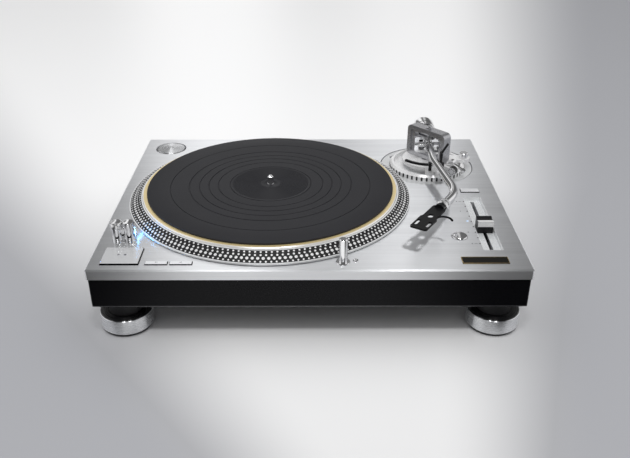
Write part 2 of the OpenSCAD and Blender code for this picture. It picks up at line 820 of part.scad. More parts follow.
module light_release() color("#c9cacd") spot(release_at, deck_bottom - release_tail)
    cylinder(r = release_r, h = plate_top + release_up - deck_bottom + release_tail);

// Pitch fader

liner_t = 2;
liner_top = plate_top - trough_d;
fader_body_w = 14;
fader_body_h = 7;
trough_end = 4;
fader_slot_l = trough_l - 2 * trough_end;
blade_gap = 0.7;
blade_y = 6;
blade_dip = 4;
module fader_trough() color("#aeb0b4") difference() {
    spot(trough_at, liner_top - liner_t) linear_extrude(liner_t)
        square([trough_w - key_gap, trough_l - key_gap], center = true);
    box_drill(trough_at, slot_w, fader_slot_l, liner_top - liner_t - over, liner_top);
}
module fader_body() color("#33343a") difference() {
    spot(trough_at, board_top) linear_extrude(fader_body_h) square([fader_body_w, trough_l], center = true);
    box_drill(trough_at, slot_w, fader_slot_l, board_top + fader_body_h - blade_dip - over,
        board_top + fader_body_h);
}
module fader_knob() color("#2a2a2d") {
    knob_low = liner_top + pass_gap;
    knob_h = plate_top + fader_up - knob_low;
    draft = 0.6;
    dish_r = fader_l;
    dish_d = 1.4;
    spot(fader_at, knob_low) difference() {
        translate([0, 0, knob_h / 2]) rotate([90, 0, 90]) linear_extrude(fader_w, center = true) polygon([
            [-fader_l / 2, -knob_h / 2], [fader_l / 2, -knob_h / 2], [fader_l / 2 - draft, knob_h / 2],
            [-fader_l / 2 + draft, knob_h / 2]]);
        translate([0, 0, knob_h + dish_r - dish_d]) rotate([0, 90, 0])
            cylinder(r = dish_r, h = fader_w + 2 * over, center = true);
    }
    blade_low = board_top + fader_body_h - blade_dip;
    spot(fader_at, blade_low) linear_extrude(knob_low - blade_low + over)
        square([slot_w - 2 * blade_gap, blade_y], center = true);
}

// Single-record adapter, resting in its recess
adapter_up = 2.2;
adapter_edge_up = 0.3;
adapter_hole_d = 6;
module record_adapter() color("#d3d4d6") spot(adapter_at, plate_top - recess_d) difference() {
    soft = 1;
    edge_h = 0.7;
    dimple_r = 2.5;
    dimple_d = 0.6;
    rotate_extrude() polygon([[0, 0], [adapter_r - soft, 0], [adapter_r, soft],
        [adapter_r, recess_d + adapter_edge_up - edge_h], [adapter_r - soft, recess_d + adapter_edge_up],
        [dimple_r, recess_d + adapter_up], [0, recess_d + adapter_up - dimple_d]]);
    translate([0, 0, -over]) cylinder(r = spindle_r + run_gap, h = adapter_hole_d + over);
}

badge_size = [48, 13];
badge_t = 0.8;
module badge_plate() color("#141416") spot(badge_at, plate_top) linear_extrude(badge_t)
    square(badge_size, center = true);

// Arm base, height ring and platform

module arm_base() color("#c6c7ca") difference() {
    union() {
        spot(well_at, plate_top - well_d) cylinder(r = arm_base_r, h = arm_base_top - plate_top + well_d);
        spot(pivot, arm_base_top - over) cylinder(r = sleeve_r, h = boss_h + over);
        spot(pivot, sleeve_bottom) cylinder(r = sleeve_r, h = plate_top - sleeve_bottom - well_d + over);
    }
    drill(pivot, column_r + run_gap, sleeve_bottom, arm_base_top + boss_h);
}

module height_ring() color("#c9cacd") spot(pivot, ring_bottom) rotate_extrude() polygon([
    [sleeve_r + run_gap, 0], [ring_r, 0], [ring_r, ring_h - ring_edge], [ring_r - ring_edge, ring_h],
    [ring_r - ring_wall, ring_h], [ring_r - ring_wall, ring_flange_t], [sleeve_r + run_gap, ring_flange_t]]);

module from_pivot(p, z) translate([pivot[0] + p[0], pivot[1] + p[1], z]) children();
// An arm of the platform's deck, from its middle out to a round end
lobe_waist = 0.4;
module lobe(p, r) {
    half = r - lobe_waist;
    rotate(atan2(p[1], p[0])) translate([0, -half]) square([norm(p), 2 * half]);
    translate(p) circle(r);
}
rest_at = polar(rest_reach, arm_heading) + [rest_side, 0];
lifter_at = polar(lifter_r, lifter_post);
skate_back = skate_l / 2 + pass_gap;
skate_up = skate_r + skate_gap;

// Places on the dial's axis, and at the cue lever's pin
module skate_place(back) from_pivot(skate_at, deck_low + skate_up) rotate(skate_heading)
    translate([-back, 0, 0]) rotate([0, 90, 0]) children();
module cue_place() from_pivot(cue_at, frame_foot + cue_hub_r + pass_gap) rotate(cue_heading) children();

module arm_platform() color("#bfc0c4") difference() {
    union() {
        from_pivot([0, 0], deck_low) linear_extrude(frame_foot - deck_low) {
            circle(deck_r);
            lobe(lock_at, lock_lobe_r);
            lobe(lifter_at, pin_lobe_r);
            lobe(rest_at, pin_lobe_r);
            lobe(cue_at + polar(hub_l / 2 + pass_gap + cue_lug_t / 2, cue_heading + 90), pin_lobe_r);
            lobe(skate_at - polar(skate_back + lug_t / 2, skate_heading), lug_t / 2 - lobe_waist);
        }
        from_pivot([0, 0], column_bottom) cylinder(r = column_r, h = deck_low - column_bottom + over);
        skate_lug();
        cue_lug();
    }
    drill(pivot, wire_bore_r, column_bottom, frame_foot);
    for (p = [lock_at, lifter_at]) drill(pivot + p, pin_r + run_gap, deck_low, frame_foot);
    skate_place(skate_back + lug_t + over) cylinder(r = pin_r + run_gap, h = lug_t + 2 * over);
    cue_place() translate([0, hub_l / 2 + pass_gap - over, 0]) rotate([-90, 0, 0])
        cylinder(r = pin_r + run_gap, h = cue_lug_t + 2 * over);
}
module skate_lug() skate_place(skate_back + lug_t) {
    cylinder(r = lug_r, h = lug_t);
    translate([0, -lug_r, 0]) cube([skate_up - lug_rise, 2 * lug_r, lug_t]);
}
module cue_lug() cue_place() translate([0, hub_l / 2 + pass_gap, 0]) rotate([-90, 0, 0]) {
    cylinder(r = lug_r, h = cue_lug_t);
    translate([-lug_r, 0, 0]) cube([2 * lug_r, cue_hub_r + pass_gap, cue_lug_t]);
}

// Bearing frame, upright on the platform, with its opening towards the record
module frame_place() from_pivot([0, 0], arm_axis_z) rotate(frame_heading - 90) rotate([90, 0, 0]) children();
frame_step = 2.5;
frame_step_w = 5;
frame_corner = 6;
frame_step_corner = 3;
frame_hole_corner = 2;
module bearing_frame() color("#8f9196") difference() {
    frame_place() linear_extrude(frame_d, center = true) difference() {
        rounded(frame_w, frame_h, frame_corner);
        rounded(frame_hole_w, frame_hole_h, frame_hole_corner);
    }
    for (side = [-1, 1]) frame_place() translate([0, 0, side * frame_d / 2])
        linear_extrude(2 * frame_step, center = true)
            rounded(frame_hole_w + 2 * frame_step_w, frame_hole_h + frame_step_w, frame_step_corner);
    from_pivot([0, 0], frame_foot - over) cylinder(r = pin_r + run_gap, h = frame_h + 2 * over);
}
pivot_bite = 2;
screw_proud = 3.6;
locknut_r = 4.6;
locknut_t = 2;
module pivot_screws() color("#e2e3e5") {
    reach = gimbal_h / 2 - pivot_bite;
    frame_top = frame_foot + frame_h;
    spot(pivot, arm_axis_z + reach) cylinder(r = pin_r, h = frame_h / 2 + screw_proud - reach);
    spot(pivot, frame_top) cylinder(r = locknut_r, h = locknut_t);
    spot(pivot, frame_foot) cylinder(r = pin_r, h = frame_h / 2 - reach);
}

// Arm: +X runs along the tube where it leaves the bearing
module arm_frame() from_pivot([0, 0], arm_axis_z) rotate(arm_heading) children();
module along() rotate([0, 90, 0]) children();

module gimbal_ring() color("#cfd0d3") arm_frame() difference() {
    rotate([90, 0, 90]) linear_extrude(gimbal_d, center = true) difference() {
        rounded(gimbal_w, gimbal_h, gimbal_corner);
        rounded(gimbal_hole_w, gimbal_hole_h, frame_hole_corner);
    }
    cylinder(r = pin_r + run_gap, h = gimbal_h + 2 * over, center = true);
    rotate([90, 0, 0]) cylinder(r = pin_r + run_gap, h = gimbal_w + 2 * over, center = true);
}

module arm_block() color("#d9dadc") arm_frame() difference() {
    union() {
        translate([-block_half, 0, 0]) along() cylinder(r = block_r, h = 2 * block_half);
        rotate([90, 0, 0]) cylinder(r = pin_r, h = gimbal_w - 2 * axle_short, center = true);
        translate([-shaft_end, 0, 0]) along() cylinder(r = rear_r, h = shaft_end);
    }
    along() cylinder(r = tube_r + press_gap, h = block_half + over);
}

// Centre line of the S, in the arm's frame: [x, y, heading] at each ring of the tube
function polar(r, a) = r * [cos(a), sin(a)];
tangent_one = bend_one_r * tan(bend_one / 2);
tangent_two = bend_two_r * tan(bend_two / 2);
corner_two = [arm_first, 0] + polar(arm_second, bend_one);
end_heading = bend_one - bend_two;
bend_steps = [3, 10];
function on_bend_one(a) = [arm_first - tangent_one, bend_one_r] + polar(bend_one_r, a - 90);
function on_bend_two(a) = corner_two - polar(tangent_two, bend_one) + polar(bend_two_r, bend_one - 90)
    + polar(bend_two_r, bend_one + 90 - a);
function station(p, heading) = [p[0], p[1], heading];
arm_line = concat([station([0, 0], 0)],
    [for (k = [0 : bend_steps[0]]) let (a = bend_one * k / bend_steps[0]) station(on_bend_one(a), a)],
    [for (k = [0 : bend_steps[1]]) let (a = bend_two * k / bend_steps[1])
        station(on_bend_two(a), bend_one - a)],
    [station(corner_two + polar(tube_end, end_heading), end_heading)]);
tube_sides = 24;

// One ring of points round a station of the centre line
function tube_ring(at, r) = [for (k = [0 : tube_sides - 1]) let (t = 360 * k / tube_sides)
    [at[0] - r * cos(t) * sin(at[2]), at[1] + r * cos(t) * cos(at[2]), r * sin(t)]];
function flat(rings) = [for (one = rings) each one];

// A tube along the stations: outer skin, bore, and a flat ring at each end
module bent_tube(stations, outer, inner) {
    n = len(stations);
    s = tube_sides;
    bore = n * s;
    skin = [for (i = [0 : n - 2], k = [0 : s - 1]) let (j = (k + 1) % s)
        each [[i * s + k, i * s + j, i * s + s + j], [i * s + k, i * s + s + j, i * s + s + k]]];
    bore_skin = [for (f = skin) [bore + f[2], bore + f[1], bore + f[0]]];
    ends = [for (k = [0 : s - 1]) let (j = (k + 1) % s, e = (n - 1) * s)
        each [[k, bore + j, j], [k, bore + k, bore + j],
            [e + k, e + j, bore + e + j], [e + k, bore + e + j, bore + e + k]]];
    points = flat([for (r = [outer, inner], at = stations) tube_ring(at, r)]);
    polyhedron(points, concat(skin, bore_skin, ends));
}

// Frame at the second bend's corner, +X along the headshell
module shell_frame() arm_frame() translate([corner_two[0], corner_two[1], 0]) rotate(end_heading) children();

module arm_tube() color("#d6d7da") arm_frame() bent_tube(arm_line, tube_r, tube_r - tube_wall);

module lock_nut() color("#dcdddf") shell_frame() translate([nut_from, 0, 0]) along() difference() {
    soft = 0.8;
    rotate_extrude() polygon([[tube_r + run_gap, 0], [nut_r - soft, 0], [nut_r, soft], [nut_r, nut_l - soft],
        [nut_r - soft, nut_l], [tube_r + run_gap, nut_l]]);
}

shell_from = arm_third - shell_l;
shell_top = 2.2;
slot_l = 12;
slot_d = 4;
shell_slot_at = arm_third - slot_l;
shell_eye = [8, 6];
shell_eye_at = 25;
shell_root_l = 3;
shell_root_in = 2.6;
shell_waist_l = 27;
shell_waist_in = 1.6;
shell_flare_l = 3;
shell_nose = [1.5, 1.5];
neck_r = 6;
neck_taper = 0.8;
neck_back = 2.5;
neck_l = 6;

// Outline of one side of the headshell's plate, from its root to its front
function shell_edge(half) = [[0, half - shell_root_in], [shell_root_l, half - shell_waist_in],
    [shell_waist_l, half - shell_waist_in], [shell_waist_l + shell_flare_l, half],
    [shell_l - shell_nose[0], half], [shell_l, half - shell_nose[1]]];
function mirrored(line) = [for (k = [len(line) - 1 : -1 : 0]) [line[k][0], -line[k][1]]];
module through_shell(x, y) translate([x, y, shell_top - shell_t - over])
    linear_extrude(shell_t + 2 * over) children();

module headshell() color("#131315") shell_frame() difference() {
    union() {
        translate([tube_end, 0, 0]) along() cylinder(r = plug_r, h = shell_from - tube_end + over);
        translate([shell_from - neck_back, 0, 0]) along()
            cylinder(r1 = neck_r - neck_taper, r2 = neck_r, h = neck_l);
        translate([shell_from, 0, shell_top - shell_t]) linear_extrude(shell_t)
            polygon(concat(shell_edge(shell_w / 2), mirrored(shell_edge(shell_w / 2))));
    }
    for (side = [-1, 1]) through_shell(shell_slot_at, side * cartridge_slot_spacing / 2)
        stadium(slot_l, slot_d);
    through_shell(shell_from + shell_eye_at, 0) stadium(shell_eye[0], shell_eye[1]);
}

// Finger lift: a rod that leaves the headshell's outer edge and hooks round towards its front
lift_r = 0.9;
lift_arc_r = 9.4;
lift_from = 26.5;
lift_side = shell_w / 2 - shell_waist_in;
lift_out = 8.1;
lift_tip = 134;
lift_root = 262;
module finger_lift() color("#131315") shell_frame() intersection() {
    translate([shell_from + lift_from, lift_side + lift_out, shell_top - shell_t / 2]) rotate(lift_tip)
        rotate_extrude(angle = lift_root - lift_tip) translate([lift_arc_r, 0]) circle(lift_r);
    translate([shell_from, lift_side, shell_top - shell_t])
        cube([shell_l, lift_out + lift_arc_r + 2 * lift_r, shell_t]);
}

// Counterweight end
module weight_frame() arm_frame() rotate([0, -90, 0]) children();
module weight_bush() color("#a9abb0") weight_frame() translate([0, 0, dial_front - bush_proud])
    ring(bush_r, rear_r + run_gap, weight_back - dial_front + 2 * bush_proud);
module pressure_dial() color("#1b1b1d") weight_frame() translate([0, 0, dial_front])
    ring(dial_r, bush_r + run_gap, dial_l);
module counterweight() color("#dfe0e2") weight_frame() translate([0, 0, weight_front]) {
    soft = 1.5;
    rotate_extrude() polygon([[bush_r + run_gap, 0], [weight_r - soft, 0], [weight_r, soft],
        [weight_r, weight_l - soft], [weight_r - soft, weight_l], [bush_r + run_gap, weight_l]]);
}

// Arm rest with its clip, lifter, cue lever, anti-skating dial and lock knob

module arm_rest() color("#1a1a1c") from_pivot(rest_at, 0) difference() {
    union() {
        translate([0, 0, frame_foot]) cylinder(r = rest_post_r, h = rest_top - frame_foot);
        translate([-rest_bar_l, -rest_bar_w / 2, rest_top - rest_bar_t])
            cube([rest_bar_l, rest_bar_w, rest_bar_t]);
        translate([-rest_wall, -rest_bar_w / 2, rest_top - rest_bar_t])
            cube([rest_wall, rest_bar_w, clip_z - clip_r - pass_gap - rest_top + rest_bar_t]);
        for (side = [-1, 1]) translate([0, side * (rest_bar_w - ear_t) / 2, 0]) clip_axis() clip_ear();
    }
    clip_axis() cylinder(r = clip_pin_r + run_gap, h = rest_bar_w + 2 * over, center = true);
}
module clip_axis() translate([-rest_wall / 2, 0, clip_z]) rotate([90, 0, 0]) children();
module clip_ear() linear_extrude(ear_t, center = true) {
    circle(clip_r);
    translate([-clip_r, -clip_r - ear_root]) square([2 * clip_r, clip_r + ear_root]);
}
module rest_clip() color("#1a1a1c") from_pivot(rest_at, 0) clip_axis() {
    cylinder(r = clip_pin_r, h = rest_bar_w, center = true);
    linear_extrude(rest_bar_w - 2 * ear_t - 2 * pass_gap, center = true) rotate(clip_open) {
        circle(clip_r);
        translate([0, -clip_bar_r]) square([clip_l, 2 * clip_bar_r]);
        translate([clip_l, 0]) circle(clip_bar_r);
    }
}

module arm_lifter() color("#1a1a1c") {
    from_pivot([0, 0], lifter_top - lifter_t) rotate(lifter_start) rotate_extrude(angle = lifter_span)
        translate([lifter_r - lifter_w / 2, 0]) square([lifter_w, lifter_t]);
    from_pivot(lifter_at, deck_low - post_tail)
        cylinder(r = pin_r, h = lifter_top - lifter_t / 2 - deck_low + post_tail);
}

module cue_lever() color("#c9cacd") cue_place() {
    rotate([90, 0, 0]) cylinder(r = cue_hub_r, h = hub_l, center = true);
    translate([0, hub_l / 2 - over, 0]) rotate([-90, 0, 0])
        cylinder(r = pin_r, h = cue_lug_t + pass_gap + over);
    rotate([0, cue_drop, 0]) translate([0, 0, -cue_bar[1] / 2]) linear_extrude(cue_bar[1]) {
        translate([0, -cue_bar[0] / 2]) square([cue_l, cue_bar[0]]);
        translate([cue_l, 0]) circle(cue_tip_r);
    }
}

module anti_skate_dial() color("#4c4d52") skate_place(skate_l / 2) {
    cylinder(r = skate_r, h = skate_l);
    translate([0, 0, -pass_gap - lug_t]) cylinder(r = pin_r, h = lug_t + pass_gap + over);
}

module lock_knob() color("#dcdddf") from_pivot(lock_at, frame_foot + pass_gap) {
    soft = 0.6;
    rotate_extrude() polygon([[0, 0], [lock_r, 0], [lock_r, lock_h - soft], [lock_r - soft, lock_h],
        [0, lock_h]]);
    translate([0, 0, deck_low - frame_foot]) cylinder(r = pin_r, h = frame_foot - deck_low + over);
}

top_plate();
cabinet();
rubber_base();
foot_cores();
foot_ring_front_left();
foot_ring_front_right();
foot_ring_rear_left();
foot_ring_rear_right();
base_screws();
hinge_sockets();
terminal_panel();
phono_terminals();
power_inlet();
power_supply();
control_board();
pitch_board();
motor_frame();
stator_coils();
bearing_housing();
spindle();
rotor_magnet();
platter();
platter_brass_top();
mat();
start_stop_key();
speed_33_key();
speed_45_key();
pitch_range_key();
pitch_reset_key();
strobe_housing();
strobe_window();
power_knob();
stylus_light();
light_sleeve();
light_release();
fader_trough();
fader_knob();
fader_body();
record_adapter();
badge_plate();
arm_base();
height_ring();
arm_platform();
bearing_frame();
pivot_screws();
gimbal_ring();
arm_block();
arm_tube();
lock_nut();
headshell();
finger_lift();
weight_bush();
counterweight();
pressure_dial();
arm_rest();
rest_clip();
cue_lever();
arm_lifter();
anti_skate_dial();
lock_knob();
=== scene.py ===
# A turntable with an S-shaped pickup arm: finishes and fine trim on the fixed frame, in a plain studio.
import json
import math

import bmesh
import bpy
from mathutils import Matrix, Vector


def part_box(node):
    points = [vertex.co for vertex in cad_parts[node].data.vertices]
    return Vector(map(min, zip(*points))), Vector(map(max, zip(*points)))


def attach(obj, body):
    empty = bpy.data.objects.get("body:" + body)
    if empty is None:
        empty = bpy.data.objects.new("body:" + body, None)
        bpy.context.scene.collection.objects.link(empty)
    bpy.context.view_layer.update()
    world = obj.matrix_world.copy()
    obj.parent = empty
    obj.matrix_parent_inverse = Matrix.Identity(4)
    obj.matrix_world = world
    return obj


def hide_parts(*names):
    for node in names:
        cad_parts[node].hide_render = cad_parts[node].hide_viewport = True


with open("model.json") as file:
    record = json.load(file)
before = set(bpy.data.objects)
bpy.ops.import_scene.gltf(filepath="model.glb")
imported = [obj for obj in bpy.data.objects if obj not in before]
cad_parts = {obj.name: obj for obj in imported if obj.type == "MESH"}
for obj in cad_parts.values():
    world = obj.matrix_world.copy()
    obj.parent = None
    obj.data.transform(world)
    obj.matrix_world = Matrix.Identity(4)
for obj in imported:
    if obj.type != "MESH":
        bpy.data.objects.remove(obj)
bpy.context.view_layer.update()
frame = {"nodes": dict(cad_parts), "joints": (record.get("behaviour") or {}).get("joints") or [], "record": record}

NODES = frame["nodes"]
JOINTS = {joint["name"]: joint for joint in frame["joints"]}
MOUNTS = {mount["name"]: mount for mount in frame["record"]["mounts"]}

# Pieces are drawn in millimetres, in the frame of the solids
MM = 0.001
WELD = 1e-7
UP = Vector((0, 0, 1))


def mm(place):
    """A place in metres, in millimetres."""
    return Vector(place) / MM


def box(node):
    """The lowest and highest corner of a solid, in millimetres."""
    low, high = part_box(node)
    return low / MM, high / MM


def middle(node):
    """The middle of a solid's box, in millimetres."""
    low, high = box(node)
    return (low + high) / 2


def half_width(node):
    """Half of a solid's width along X, which is the radius of a round one."""
    low, high = box(node)
    return (high.x - low.x) / 2


PLATE_LOW, PLATE_HIGH = box("top_plate")
PLATE_TOP = PLATE_HIGH.z
SPINDLE = mm(JOINTS["platter_spin"]["pos_m"])
PIVOT = mm(JOINTS["arm_swing"]["pos_m"])
ARM_BACK = Vector(JOINTS["weight_turn"]["axis"]).normalized()
SHELL_CORNER = mm(JOINTS["lock_nut_turn"]["pos_m"])
SHELL_AHEAD = Vector(JOINTS["lock_nut_turn"]["axis"]).normalized()
SHELL_LEFT = UP.cross(SHELL_AHEAD)


# Mesh tools

# A ridge takes four steps round its piece, and the first two are cut in
RIDGE_STEPS = 4
RIDGE_CUT = 2
# The least corner radius, and the share at which a soft edge bends
LEAST_CORNER = 0.01
EDGE_BEND = 0.3
# Steps in a corner and in a profile's quarter round, and degrees in each step of a bend
CORNER_STEPS = 5
ARC_STEPS = 8
BEND_STEP = 3.0


def loft(rings, loop=False):
    """A skin over rings of equal length. Its ends are capped, or it closes on itself."""
    count = len(rings[0])
    verts = [Vector(point) for ring in rings for point in ring]
    faces = []
    for a in range(len(rings) if loop else len(rings) - 1):
        b = (a + 1) % len(rings)
        for i in range(count):
            j = (i + 1) % count
            faces.append((a * count + i, a * count + j, b * count + j, b * count + i))
    if not loop:
        faces.append(tuple(reversed(range(count))))
        faces.append(tuple(range((len(rings) - 1) * count, len(rings) * count)))
    return verts, faces


def stacked(levels, loop=False):
    """A skin over outlines of (x, y) points, each at its own level."""
    return loft([[(x, y, z) for x, y in outline] for outline, z in levels], loop)


def turned(profile, steps, depth=0.0, beyond=math.inf):
    """A closed profile of (radius, height) turned round Z. Ridges cut in where it is wider than beyond."""
    rings = []
    for k in range(steps):
        angle = 2 * math.pi * k / steps
        cut = depth if k % RIDGE_STEPS < RIDGE_CUT else 0.0
        ring = []
        for radius, height in profile:
            r = radius - cut if radius > beyond else radius
            ring.append((r * math.cos(angle), r * math.sin(angle), height))
        rings.append(ring)
    return loft(rings, loop=True)


def quarter_round(centre, across, base, rise):
    """A quarter of an ellipse in a profile, from its outer end up to its top."""
    turns = [math.pi / 2 * k / ARC_STEPS for k in range(ARC_STEPS + 1)]
    return [(centre + across * math.cos(t), base + rise * math.sin(t)) for t in turns]


def barrel(radius, low, high, edge, waist):
    """The outer line of a turned barrel. Edge and waist are steps of (inset, distance from an end)."""
    line = [(radius - inset, low + distance) for inset, distance in edge + waist]
    return line + [(radius - inset, high - distance) for inset, distance in reversed(edge)]


def circle(radius, steps):
    turns = [2 * math.pi * k / steps for k in range(steps)]
    return [(radius * math.cos(t), radius * math.sin(t)) for t in turns]


def rounded(width, depth, corner):
    """The outline of a rectangle with round corners."""
    corner = max(min(corner, width / 2 - LEAST_CORNER, depth / 2 - LEAST_CORNER), LEAST_CORNER)
    points = []
    for turn, (sx, sy) in enumerate([(1, 1), (-1, 1), (-1, -1), (1, -1)]):
        cx = sx * (width / 2 - corner)
        cy = sy * (depth / 2 - corner)
        for k in range(CORNER_STEPS + 1):
            angle = math.pi / 2 * (turn + k / CORNER_STEPS)
            points.append((cx + corner * math.cos(angle), cy + corner * math.sin(angle)))
    return points


def slab(width, depth, corner, height, soft=0.0):
    """A plate with round corners, and its top edge rounded by soft."""
    levels = [(0.0, 0.0), (0.0, height - soft)]
    if soft:
        levels += [(soft * EDGE_BEND, height - soft * EDGE_BEND), (soft, height)]
    outlines = [rounded(width - 2 * inset, depth - 2 * inset, corner - inset) for inset, _ in levels]
    return stacked([(outline, z) for outline, (_, z) in zip(outlines, levels)])


def prism(outline, height):
    """An outline raised by a height."""
    return stacked([(outline, 0.0), (outline, height)])


def border(width, depth, wall, corners, low, high):
    """A wall round the inside of a rectangle, with its outer and inner corners rounded."""
    outer = rounded(width, depth, corners[0])
    inner = rounded(width - 2 * wall, depth - 2 * wall, corners[1])
    return stacked([(outer, low), (outer, high), (inner, high), (inner, low)], loop=True)


def swept(path, sections):
    """A tube along a path. Each step's section is a ring of (side, up) points."""
    rings = []
    for k, point in enumerate(path):
        ahead = (path[min(k + 1, len(path) - 1)] - path[max(k - 1, 0)]).normalized()
        side = ahead.cross(UP).normalized()
        rise = side.cross(ahead)
        rings.append([point + side * s + rise * u for s, u in sections[k]])
    return loft(rings)


def rounded_path(points, radii):
    """Straight runs between points, with each inner corner turned by an arc of its radius."""
    path = [points[0]]
    for before, corner, after, radius in zip(points, points[1:], points[2:], radii):
        come = (corner - before).normalized()
        go = (after - corner).normalized()
        turn = come.angle(go)
        inward = (go - come * go.dot(come)).normalized()
        start = corner - come * radius * math.tan(turn / 2)
        count = max(2, round(math.degrees(turn) / BEND_STEP))
        for k in range(count + 1):
            t = turn * k / count
            path.append(start + come * radius * math.sin(t) + inward * radius * (1 - math.cos(t)))
    path.append(points[-1])
    return path


def moved(skin, matrix):
    """A skin put where a matrix says."""
    verts, faces = skin
    return [matrix @ Vector(v) for v in verts], faces


def joined(skins):
    verts, faces = [], []
    for some_verts, some_faces in skins:
        start = len(verts)
        verts.extend(some_verts)
        faces.extend(tuple(start + i for i in face) for face in some_faces)
    return verts, faces


def at(place, turn=0.0):
    """Puts a piece at a place, turned round Z by degrees."""
    return Matrix.Translation(Vector(place)) @ Matrix.Rotation(math.radians(turn), 4, "Z")


def over(node):
    """Puts a piece over the middle of a solid, at the piece's own height."""
    spot = middle(node)
    return at((spot.x, spot.y, 0))


def top_of(node):
    """The middle of a solid's top."""
    spot = middle(node)
    return Vector((spot.x, spot.y, box(node)[1].z))


def along(place, axis):
    """Puts a piece at a place with its Z along an axis."""
    turn = Vector(axis).to_track_quat("Z", "Y").to_matrix().to_4x4()
    return Matrix.Translation(Vector(place)) @ turn


def round_the_wall(place, axis, radius, angle, height):
    """A spot on a cylinder's wall: X runs round it, Y along its axis and Z out of it."""
    turn = math.radians(angle)
    local = Matrix(((-math.sin(turn), 0, math.cos(turn)), (math.cos(turn), 0, math.sin(turn)), (0, 1, 0)))
    spot = Matrix.Translation((radius * math.cos(turn), radius * math.sin(turn), height))
    return along(place, axis) @ spot @ local.to_4x4()


def numeral(text, size, depth):
    """Plain raised figures, centred on the origin."""
    curve = bpy.data.curves.new("figures", "FONT")
    curve.body = text
    curve.size = size
    curve.align_x = "CENTER"
    curve.align_y = "CENTER"
    curve.extrude = depth / 2
    curve.resolution_u = 4
    holder = bpy.data.objects.new("figures", curve)
    bpy.context.scene.collection.objects.link(holder)
    bpy.context.view_layer.update()
    mesh = bpy.data.meshes.new_from_object(holder.evaluated_get(bpy.context.evaluated_depsgraph_get()))
    skin = [v.co.copy() for v in mesh.vertices], [tuple(p.vertices) for p in mesh.polygons]
    bpy.data.objects.remove(holder)
    bpy.data.curves.remove(curve)
    bpy.data.meshes.remove(mesh)
    return skin


def piece(name, skin, finish, body, stands_for=(), sharp=35.0):
    """Makes a piece of the object from a skin in millimetres, and lets it ride on its body."""
    verts, faces = skin
    mesh = bpy.data.meshes.new(name)
    mesh.from_pydata([Vector(v) * MM for v in verts], [], faces)
    form = bmesh.new()
    form.from_mesh(mesh)
    bmesh.ops.remove_doubles(form, verts=form.verts, dist=WELD)
    bmesh.ops.recalc_face_normals(form, faces=form.faces)
    form.to_mesh(mesh)
    form.free()
    mesh.shade_smooth()
    mesh.set_sharp_from_angle(angle=math.radians(sharp))
    mesh.materials.append(finish)
    made = bpy.data.objects.new(name, mesh)
    bpy.context.scene.collection.objects.link(made)
    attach(made, body)
    if stands_for:
        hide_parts(*stands_for)


# Material tools

# Most values of a noise lie in this range
NOISE_RANGE = (0.3, 0.7)


class Finish:
    """A procedural material in the making: its shader, and short ways to feed the shader's sockets."""

    def __init__(self, name, color, roughness, metallic=0.0, extra=None):
        self.material = bpy.data.materials.new(name)
        self.material.use_nodes = True
        self.tree = self.material.node_tree
        self.shader = self.tree.nodes["Principled BSDF"]
        self.color = color
        self.roughness = roughness
        sockets = {"Base Color": (*color, 1.0), "Roughness": roughness, "Metallic": metallic}
        for socket, value in (sockets | (extra or {})).items():
            self.shader.inputs[socket].default_value = value

    def node(self, kind, inputs=None, **settings):
        made = self.tree.nodes.new("ShaderNode" + kind)
        for key, value in settings.items():
            setattr(made, key, value)
        for socket, value in (inputs or {}).items():
            if isinstance(value, bpy.types.NodeSocket):
                self.tree.links.new(value, made.inputs[socket])
            else:
                made.inputs[socket].default_value = value
        return made

    def feed(self, socket, source):
        self.tree.links.new(source, self.shader.inputs[socket])

    def place(self, scale=(1, 1, 1), origin=(0, 0, 0)):
        """Coordinates in the solids' frame, in metres from an origin, stretched by a scale on each axis."""
        coords = self.node("TexCoord").outputs["Object"]
        local = self.node("VectorMath", {0: coords, 1: origin}, operation="SUBTRACT").outputs[0]
        return self.node("VectorMath", {0: local, 1: scale}, operation="MULTIPLY").outputs[0]

    def parts(self, vector):
        return self.node("SeparateXYZ", {0: vector}).outputs

    def vector(self, x=0.0, y=0.0, z=0.0):
        return self.node("CombineXYZ", {0: x, 1: y, 2: z}).outputs[0]

    def radius(self, origin):
        """The distance from an upright axis through an origin."""
        flat = self.place((1, 1, 0), origin)
        return self.node("VectorMath", {0: flat}, operation="LENGTH").outputs["Value"]

    def height(self, origin=(0, 0, 0)):
        return self.parts(self.place(origin=origin))[2]

    def noise(self, vector, scale=1.0, detail=2.0):
        return self.node("TexNoise", {"Vector": vector, "Scale": scale, "Detail": detail}).outputs["Fac"]

    def math(self, operation, a, b=0.0, c=0.0):
        return self.node("Math", {0: a, 1: b, 2: c}, operation=operation).outputs[0]

    def spread(self, value, low, high, to_low=0.0, to_high=1.0, ends="LINEAR"):
        """Maps low to high onto to_low to to_high, and holds at the ends."""
        sockets = {"Value": value, "From Min": low, "From Max": high, "To Min": to_low, "To Max": to_high}
        return self.node("MapRange", sockets, interpolation_type=ends).outputs["Result"]

    def soft(self, value, low, high, to_low=0.0, to_high=1.0):
        """Maps as spread does, with soft ends. Low may be above high."""
        return self.spread(value, low, high, to_low, to_high, "SMOOTHSTEP")

    def mix(self, factor, first, second):
        sockets = {0: factor, 6: (*first, 1.0), 7: (*second, 1.0)}
        return self.node("Mix", sockets, data_type="RGBA").outputs[2]

    def shades(self, value, darker, lighter):
        """Lets the colour run between two shades of itself."""
        first = [c * darker for c in self.color]
        second = [min(c * lighter, 1.0) for c in self.color]
        self.feed("Base Color", self.mix(value, first, second))

    def rough(self, value, change):
        """Lets the roughness vary by a change to each side."""
        low, high = self.roughness - change, self.roughness + change
        self.feed("Roughness", self.spread(value, *NOISE_RANGE, low, high))

    def bump(self, height, distance, strength):
        sockets = {"Height": height, "Distance": distance, "Strength": strength}
        self.feed("Normal", self.node("Bump", sockets).outputs["Normal"])


# Kinds of finish

